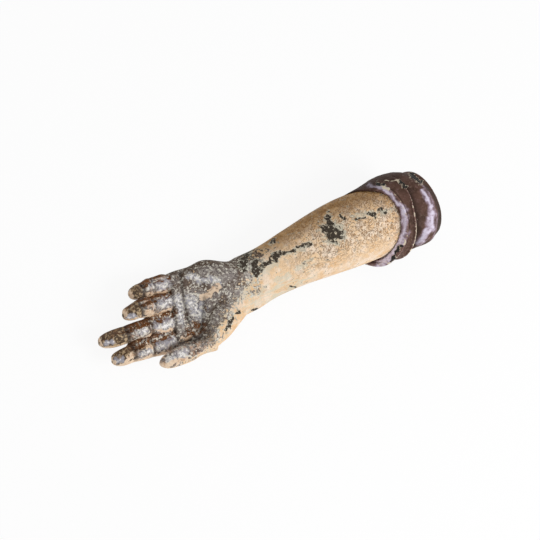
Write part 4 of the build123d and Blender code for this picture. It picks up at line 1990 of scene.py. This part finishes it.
    def back_relief(self, skin: Surface, palm: np.ndarray) -> np.ndarray:
        """Knuckles and tendons on the back of the hand.

        Args:
            skin: The arm's skin.
            palm: Which points lie on the hand block.

        Returns:
            One height per point.
        """
        height = np.zeros(skin.count)
        places = skin.points[:, :2]
        middle = (WRIST + np.array(self.TENDONS_MEET))[:2]
        for finger in FINGERS:
            knuckle = finger.backs[0][:2]
            reach = np.linalg.norm(places - knuckle, axis=1)
            height += self.knuckle(reach)
            end = knuckle + self.tendon_reach * (middle - knuckle)
            tendon = line_distance(places, knuckle, end)
            height += self.tendon(tendon) * palm
        return height * self.BACK(skin.normals[:, 2])

    def sculpt_palm(self, skin: Surface, labels: np.ndarray) -> np.ndarray:
        """Carves the palm's lines, its lean edges, the back of the hand and the knife's waviness.

        Args:
            skin: The arm's skin.
            labels: Each point's node.

        Returns:
            How deep in a line each point is, from 0 to 1.
        """
        palm = self.on(labels, "palm")
        pixels = PHOTO.pixels(skin.points)
        # Depth in the palm's lines, which the paint darkens as painted shade
        dirt = np.zeros(skin.count)
        for start, end, share in self.PALM_LINES:
            distance = line_distance(pixels, start, end) * PHOTO.pixel
            dirt = np.maximum(dirt, share * bell(distance, 0.0, self.line_width))
        dirt *= skin.facing() * ~self.on(labels, "forearm")
        height = self.back_relief(skin, palm) - self.line_depth * dirt
        edge = (palm | self.on(labels, "little_finger")) * self.LITTLE_SIDE(skin.normals[:, 1])
        height -= self.EDGE_PIXELS(pixels[:, 0]) * edge
        lower = (palm | self.on(labels, "thumb")) * self.THUMB_SIDE(skin.normals[:, 1])
        height -= self.THUMB_PIXELS(pixels[:, 0]) * lower
        waves = sum(share * skin.ripple(size, stretch) for share, size, stretch in self.WAVES)
        skin.raise_by(height + self.carving * waves)
        return np.clip(dirt, 0.0, 1.0)

    def build(self) -> tuple[Pieces, Pieces]:
        """Makes the skin and cuts it at the joints.

        Returns:
            The pieces and the dowels, one per node.
        """
        mesh = remeshed(self.draft(), self.voxel)
        skin = Surface(mesh)
        skin.smooth(self.smoothing)
        labels = nearest_node(skin.points, self.names)
        self.round_off(skin)
        crease = self.sculpt_fingers(skin, labels)
        crease = np.maximum(crease, self.sculpt_palm(skin, labels))
        skin.smooth(1)
        skin.rest_on_table()
        ArmWearShadeAndSheen(skin, labels, self.names).store(crease)
        dowels = pared(self.dowels, skin, self.cover)
        return split_skin(mesh, labels, self.names), dowels


@dataclass
class SleevePlaces:
    """Where each point of the sleeve's skin lies, and which side of the sleeve that is."""

    front: np.ndarray  # share of the front fold from mouth to valley
    rear: np.ndarray  # share of the rear fold from valley to sawn end
    angle: np.ndarray  # from the palm's side to the thumb's, in degrees
    outside: np.ndarray  # 1 on the outside, 0 inside

    FAR_START = Run(-32.0, -68.0)
    FAR_END = Run(-175.0, -135.0)
    NARROW_START = Run(-25.0, 15.0)
    NARROW_END = Run(130.0, 100.0)

    @property
    def far(self) -> np.ndarray:
        """1 on the little finger's side, where the front fold dies away."""
        return self.FAR_START(self.angle) * self.FAR_END(self.angle)

    @property
    def narrow(self) -> np.ndarray:
        """1 where the front fold is narrow, from the palm's side to the thumb's."""
        return self.NARROW_START(self.angle) * self.NARROW_END(self.angle)


@dataclass
class SleeveWearShadeAndSheen:
    """Where the sleeve's paint is rubbed, worn smooth, flaked or bare, and where highlights and shade are
    painted on it.
    """

    skin: Surface
    at: SleevePlaces
    ridge_shift: float

    RELIEF_ROUNDS = 14
    LIP = Mound(0.05, 0.08)
    LIP_END = Run(1.0, 0.9)
    LIP_OFF_FAR = 0.8
    PROUD = Run(0.02, 0.3)
    PROUD_OFF_FAR = 0.6
    RUB_ON_LIP = 0.8
    # Painted highlights on the rear fold's crest and on the high relief
    CREST = Mound(0.67, 0.05, 0.42)
    HIGH = Run(0.06, 0.35)
    HIGH_SHARE = 0.7
    RIDGE = 0.92
    RIDGE_SPREAD = 0.06
    EDGE_ANGLE = Mound(50.0, 32.0, 0.36)
    EDGE_SHARE = 0.5
    # Painted shade: the valley behind the ridge, the hollows, the rear rim, the far side and the bore
    VALLEY = Mound(0.02, 0.22)
    VALLEY_START = Run(-0.05, 0.01)
    BEHIND_RIDGE = (0.05, 0.14)
    BEHIND_END = Run(1.25, 1.0)
    VALLEY_SHARE = 0.85
    LOW = Run(-0.02, -0.3)
    RIM = Run(0.71, 0.78, 0.9)
    FAR_SHADE = 0.75
    INSIDE_SHADE = 0.8
    WEAR_SIZE = 13.0
    WEAR = Run(0.3, 0.6, 0.55)
    SAWN_DEPTH = 1.2
    SAWN_FACING = 0.75

    def __post_init__(self) -> None:
        """Works out what the masks share."""
        self.marks = self.skin.stroke_masks(SLEEVE_STROKES)
        self.relief = self.skin.relief(self.RELIEF_ROUNDS)
        self.near = 1 - self.at.far
        self.ridge = self.RIDGE - self.ridge_shift * self.at.narrow
        self.unseen = 1 - self.skin.facing()

    def rub_and_highlight(self) -> None:
        """Masks what is rubbed, and the painted highlights on the lip, the crest and the high relief."""
        at = self.at
        lip = self.LIP(at.front) * self.LIP_END(at.front) * (1 - self.LIP_OFF_FAR * at.far)
        proud = self.PROUD(self.relief) * at.outside * (1 - self.PROUD_OFF_FAR * at.far)
        self.skin.mask("rub", np.maximum(proud, self.RUB_ON_LIP * lip))
        crest = self.CREST(at.rear) * at.outside * self.near
        high = np.maximum(lip, self.HIGH(self.relief)) * at.outside * self.unseen
        polish_and_highlight = np.maximum(crest, self.HIGH_SHARE * high)
        self.skin.mask("sheen", np.maximum(self.marks[Mark.SHEEN], polish_and_highlight))

    def dirt(self, inside: np.ndarray) -> None:
        """Masks the painted shade of the hollows, the valley, the rear rim, the far side and the bore.

        Args:
            inside: 1 on the bore.
        """
        at = self.at
        start, end = (self.ridge + shift for shift in self.BEHIND_RIDGE)
        valley = np.maximum(
            self.VALLEY(at.rear) * self.VALLEY_START(at.rear),
            ease(at.front, start, end) * self.BEHIND_END(at.front),
        )
        hollow = np.maximum(self.LOW(self.relief), self.VALLEY_SHARE * valley * self.near)
        rim = np.maximum(self.RIM(at.rear), self.FAR_SHADE * at.far)
        self.skin.mask("dirt", np.maximum(np.maximum(hollow, rim) * at.outside, self.INSIDE_SHADE * inside))

    def losses(self) -> None:
        """Masks flakes, the ridge's bare edge and the sawn end."""
        at, skin = self.at, self.skin
        wear = self.WEAR(skin.ripple(self.WEAR_SIZE)) * self.unseen * at.outside
        skin.mask("chip", np.maximum(self.marks[Mark.CHIP], wear))
        edge = bell(at.front, self.ridge, self.RIDGE_SPREAD) * self.near * at.outside
        edge *= self.EDGE_SHARE + self.EDGE_ANGLE(at.angle)
        skin.mask("bare", np.maximum(self.marks[Mark.BARE], edge))
        end = skin.points[:, 0] > SAWN_END[0] - self.SAWN_DEPTH
        end &= skin.normals[:, 0] > self.SAWN_FACING
        skin.mask("sawn", skin.softened(end.astype(float), 1))

    def store(self, inside: np.ndarray) -> None:
        """Stores all the masks on the mesh.

        Args:
            inside: 1 on the bore, which looks at the sleeve's axis.
        """
        self.rub_and_highlight()
        self.dirt(inside)
        self.losses()


@dataclass
class Sleeve:
    """The draped sleeve: a lip, a front fold with a crisp ridge, a valley and a rear fold."""

    voxel: float = 0.6
    smoothing: int = 3
    overlap: float = 1.0  # each half runs this far into the other
    length: float = 57.0
    rake: float = 13.6
    skew: float = 2.7
    half_width: float = 31.0
    half_depth: float = 28.0
    rear_length: float = 29.5
    valley_skew: float = 3.5
    ridge_rise: float = 0.8
    crest_rise: float = 1.5
    carving: float = 0.15  # waviness that the knife left
    far_reach: float = 6.0  # the lip runs further forward on the little finger's side
    far_tongue: float = 8.0  # and furthest where it meets the forearm's far outline
    near_tuck: float = 5.0  # and ends further back under the thumb's side
    ridge_shift: float = 0.22  # the ridge stands further forward on the thumb's side
    ridge_cut: float = 4.2  # and falls off behind it
    cover: float = 0.5  # of paint and wood over the pegs

    # By the outward way and by the radius
    OUTWARD = Run(-0.35, 0.0)
    INWARD = Run(0.1, 0.6)
    SHELL = Run(0.9, 1.0)
    SHELL_RADII = (32.0, 29.0)

    # By the share of the front fold, from mouth to valley
    AHEAD = Run(1.0, 0.97)
    LIP = Mound(0.06, 0.07, 0.9)
    LIP_GROOVE = Mound(0.2, 0.06, 0.6)
    RIDGE = 0.9
    RIDGE_SPREAD = 0.05
    RIDGE_FALL = 0.2
    FLARE = Run(0.4, 0.1, 2.0)
    DRAPE = Run(0.1, 0.5)
    DRAPE_WAVE = (4, -2.0)  # waves in a turn and their slant
    MOUTH = Run(0.6, 0.0)

    # By the share of the rear fold, from valley to sawn end
    VALLEY = Mound(0.03, 0.07, 1.2)
    CREST = 0.74
    CREST_SPREAD = 0.17
    OLD_CREST_SPREAD = 0.2
    CREST_START = Run(0.0, 0.1)
    SHOULDER = Run(0.35, 0.7, 2.4)
    GATHERS_START = Run(0.05, 0.4)
    GATHERS_END = Run(1.0, 0.75)
    GATHER_WAVE = (5, 2.2)

    # By the angle
    CREST_TURN = Run(15.0, 85.0, 0.6)
    CREST_ANGLE = Run(10.0, 55.0)
    CREST_END_ANGLE = Run(150.0, 110.0)
    NEAR_ANGLE = Mound(118.0, 24.0)
    SHOULDER_ANGLE = Mound(-45.0, 34.0)
    TONGUE_ANGLE = Mound(-106.0, 31.0)
    BACK_ANGLE = Run(70.0, 110.0, 0.5)
    CARVING_SIZE = 7.0

    # Places from the sawn end and radii at the widest, where the rear fold covers the front one
    FAR_PROFILE = (
        (-62.0, 32.2),
        (-47.0, 33.8),
        (-38.0, 36.0),
        (-30.0, 36.2),
        (-24.0, 35.6),
        (-17.0, 34.4),
        (-11.0, 32.2),
        (-5.0, 29.0),
    )

    names = ["sleeve_palm_half", "sleeve_back_half"]

    def draft(self) -> bpy.types.Mesh:
        """Puts the halves together, each run a little into the other.

        Returns:
            One mesh of both.
        """
        halves = [copied(name) for name in self.names]
        for half, side in zip(halves, (1.0, -1.0)):
            run_in(half, SLEEVE_AXIS, (0.0, 0.0, side), self.overlap)
        return joined("sleeve_draft", halves)

    def outward(self, skin: Surface) -> np.ndarray:
        """How far each point looks away from the sleeve's axis.

        Args:
            skin: The sleeve's skin.

        Returns:
            Numbers from -1 to 1.
        """
        spokes = (skin.points - SLEEVE_AXIS)[:, 1:]
        return np.sum(skin.normals[:, 1:] * spokes, axis=1) / np.linalg.norm(spokes, axis=1)

    def places(self, skin: Surface) -> SleevePlaces:
        """Finds where each point lies on the sleeve.

        Args:
            skin: The sleeve's skin.

        Returns:
            The places.
        """
        x = skin.points[:, 0] - SAWN_END[0]
        y, z = (skin.points - SLEEVE_AXIS).T[1:]
        mouth = -self.length + self.skew * y / self.half_width + self.rake * z / self.half_depth
        valley = -self.rear_length + self.valley_skew * y / self.half_width
        width, depth = self.SHELL_RADII
        outside = self.OUTWARD(self.outward(skin)) * self.SHELL(np.hypot(y / width, z / depth))
        return SleevePlaces(
            front=(x - mouth) / (valley - mouth),
            rear=1 - x / valley,
            angle=np.degrees(np.arctan2(-y, z)),
            outside=outside,
        )

    def dome(self, skin: Surface, share: np.ndarray) -> None:
        """Draws the far side to one dome.

        Args:
            skin: The sleeve's skin.
            share: How far each point is drawn, from 0 to 1.
        """
        x = skin.points[:, 0] - SAWN_END[0]
        spokes = (skin.points - SLEEVE_AXIS)[:, 1:]
        radius = self.half_width * np.hypot(spokes[:, 0] / self.half_width, spokes[:, 1] / self.half_depth)
        wanted = np.interp(x, *zip(*self.FAR_PROFILE))
        skin.points[:, 1:] += spokes * ((wanted / radius - 1) * share)[:, None]
        skin.refresh()

    def front_relief(self, at: SleevePlaces) -> np.ndarray:
        """Lip, groove and ridge of the front fold, cut back behind the ridge.

        Args:
            at: The points' places.

        Returns:
            One height per point.
        """
        ridge = self.RIDGE - self.ridge_shift * at.narrow
        height = self.LIP(at.front) - self.LIP_GROOVE(at.front)
        height += self.ridge_rise * bell(at.front, ridge, self.RIDGE_SPREAD)
        height -= self.ridge_cut * ease(at.front, ridge, ridge + self.RIDGE_FALL) * at.narrow
        return height * self.AHEAD(at.front)

    def rear_relief(self, at: SleevePlaces) -> np.ndarray:
        """Valley, the rear fold with its crest turned forward, and its cut shoulder.

        Args:
            at: The points' places.

        Returns:
            One height per point.
        """
        crest = self.CREST - self.CREST_TURN(at.angle)
        fold = bell(at.rear, crest, self.CREST_SPREAD) - bell(at.rear, self.CREST, self.OLD_CREST_SPREAD)
        fold *= self.CREST_ANGLE(at.angle) * self.CREST_END_ANGLE(at.angle)
        height = self.crest_rise * fold * self.CREST_START(at.rear)
        height -= self.VALLEY(at.rear)
        return height - self.SHOULDER_ANGLE(at.angle) * self.SHOULDER(at.rear)

    def gathers(self, at: SleevePlaces) -> np.ndarray:
        """Gathers on the back of both folds.

        Args:
            at: The points' places.

        Returns:
            One height per point.
        """
        turn = np.radians(at.angle)
        count, slant = self.GATHER_WAVE
        waves = np.sin(turn * count + at.rear * slant)
        waves *= self.GATHERS_START(at.rear) * self.GATHERS_END(at.rear)
        count, slant = self.DRAPE_WAVE
        drape = np.sin(turn * count + at.front * slant)
        drape *= self.DRAPE(at.front) * self.AHEAD(at.front)
        return self.BACK_ANGLE(np.abs(at.angle)) * (waves + drape)

    def sculpt(self, skin: Surface) -> None:
        """Carves the folds, domes the far side and shifts the mouth.

        Args:
            skin: The sleeve's skin.
        """
        at = self.places(skin)
        near = self.NEAR_ANGLE(at.angle)
        height = self.front_relief(at) + self.rear_relief(at) + self.gathers(at)
        height += near * self.FLARE(at.front)
        height += self.carving * skin.ripple(self.CARVING_SIZE)
        skin.raise_by(height * at.outside)
        self.dome(skin, at.far * at.outside)
        forward = self.far_reach * at.far + self.far_tongue * self.TONGUE_ANGLE(at.angle)
        skin.points[:, 0] += (self.near_tuck * near - forward) * self.MOUTH(at.front)
        skin.refresh()

    def build(self) -> tuple[Pieces, Pieces]:
        """Makes the skin and cuts it where the halves meet.

        Returns:
            The pieces and the pegs, one per node.
        """
        mesh = remeshed(self.draft(), self.voxel)
        skin = Surface(mesh)
        skin.smooth(self.smoothing)
        self.sculpt(skin)
        skin.smooth(1)
        skin.rest_on_table()
        inside = self.INWARD(-self.outward(skin))
        SleeveWearShadeAndSheen(skin, self.places(skin), self.ridge_shift).store(inside)
        labels = (skin.points[:, 2] < SLEEVE_AXIS[2]).astype(np.int32)
        pegs = pared(["sleeve_pegs"], skin, self.cover)
        return split_skin(mesh, labels, self.names), pegs


@dataclass
class Studio:
    """A pale floor, soft light from the thumb's side and an even sky."""

    floor_size: float = 6.0
    sky: float = 0.52
    key_power: float = 12.0
    key_size: float = 0.9
    key_place: tuple = (0.55, -0.85, 1.05)
    fill_power: float = 1.8
    fill_size: float = 1.2
    fill_place: tuple = (-0.9, 0.3, 1.1)
    floor_glow: float = 0.9
    floor_colour: Colour = (0.9, 0.9, 0.9, 1.0)
    sky_colour: Colour = (1.0, 1.0, 1.0, 1.0)
    seen_sky: float = 1.0

    def lamp(self, name: str, power: float, size: float, place: tuple) -> None:
        """Area lamp that looks at the arm.

        Args:
            name: The lamp's name.
            power: Watts.
            size: Side of its square in metres.
            place: Where it stands.
        """
        data = bpy.data.lights.new(name, "AREA")
        data.energy = power
        data.size = size
        lamp = bpy.data.objects.new(name, data)
        lamp.location = place
        lamp.rotation_euler = Vector(place).to_track_quat("Z", "Y").to_euler()
        bpy.context.scene.collection.objects.link(lamp)

    def watched(self, tree: bpy.types.NodeTree) -> Socket:
        """Finds what is seen, straight, in a gloss or through glass.

        Args:
            tree: The nodes of the floor or the sky.

        Returns:
            A socket with 1 for such a ray and 0 for one that only lights.
        """
        path = tree.nodes.new("ShaderNodeLightPath")
        seen = path.outputs["Is Camera Ray"]
        for way in ("Is Glossy Ray", "Is Transmission Ray"):
            either = tree.nodes.new("ShaderNodeMath")
            either.operation = "MAXIMUM"
            tree.links.new(seen, either.inputs[0])
            tree.links.new(path.outputs[way], either.inputs[1])
            seen = either.outputs[0]
        return seen

    def floor(self) -> None:
        """White floor, brightened for the camera so that only a soft shadow stays on it."""
        plane = bmesh.new()
        bmesh.ops.create_grid(plane, x_segments=1, y_segments=1, size=self.floor_size / 2)
        mesh = bpy.data.meshes.new("floor")
        plane.to_mesh(mesh)
        plane.free()
        floor = add_object("floor", mesh)
        material = bpy.data.materials.new("pale_floor")
        material.use_nodes = True
        tree = material.node_tree
        tree.nodes.clear()
        matt = tree.nodes.new("ShaderNodeBsdfDiffuse")
        matt.inputs["Color"].default_value = self.floor_colour
        glow = tree.nodes.new("ShaderNodeEmission")
        share = tree.nodes.new("ShaderNodeMath")
        share.operation = "MULTIPLY"
        share.inputs[1].default_value = self.floor_glow
        mix = tree.nodes.new("ShaderNodeMixShader")
        output = tree.nodes.new("ShaderNodeOutputMaterial")
        tree.links.new(self.watched(tree), share.inputs[0])
        tree.links.new(share.outputs[0], mix.inputs[0])
        tree.links.new(matt.outputs[0], mix.inputs[1])
        tree.links.new(glow.outputs[0], mix.inputs[2])
        tree.links.new(mix.outputs[0], output.inputs["Surface"])
        mesh.materials.append(material)

    def world(self) -> None:
        """Even white sky, plain white where the camera sees it."""
        world = bpy.data.worlds.new("studio")
        bpy.context.scene.world = world
        world.use_nodes = True
        tree = world.node_tree
        tree.nodes.clear()
        strength = tree.nodes.new("ShaderNodeMix")
        strength.inputs[2].default_value = self.sky
        strength.inputs[3].default_value = self.seen_sky
        sky = tree.nodes.new("ShaderNodeBackground")
        sky.inputs["Color"].default_value = self.sky_colour
        output = tree.nodes.new("ShaderNodeOutputWorld")
        tree.links.new(self.watched(tree), strength.inputs[0])
        tree.links.new(strength.outputs[0], sky.inputs["Strength"])
        tree.links.new(sky.outputs[0], output.inputs["Surface"])

    def build(self) -> None:
        """Sets the floor, the light and the camera."""
        self.floor()
        self.world()
        self.lamp("key", self.key_power, self.key_size, self.key_place)
        self.lamp("fill", self.fill_power, self.fill_size, self.fill_place)
        PHOTO.build()
        bpy.context.scene.view_settings.view_transform = "Standard"


def main() -> None:
    """Builds the arm, the sleeve and the studio."""
    logging.basicConfig(level=logging.INFO, format="%(message)s")
    arm, dowels = Arm().build()
    finish_pieces(arm, ArmPaint().build())
    sleeve, pegs = Sleeve().build()
    finish_pieces(sleeve, SleevePaint().build())
    finish_pieces({**dowels, **pegs}, BareWood().build())
    Studio().build()


if __name__ == "__main__":
    main()
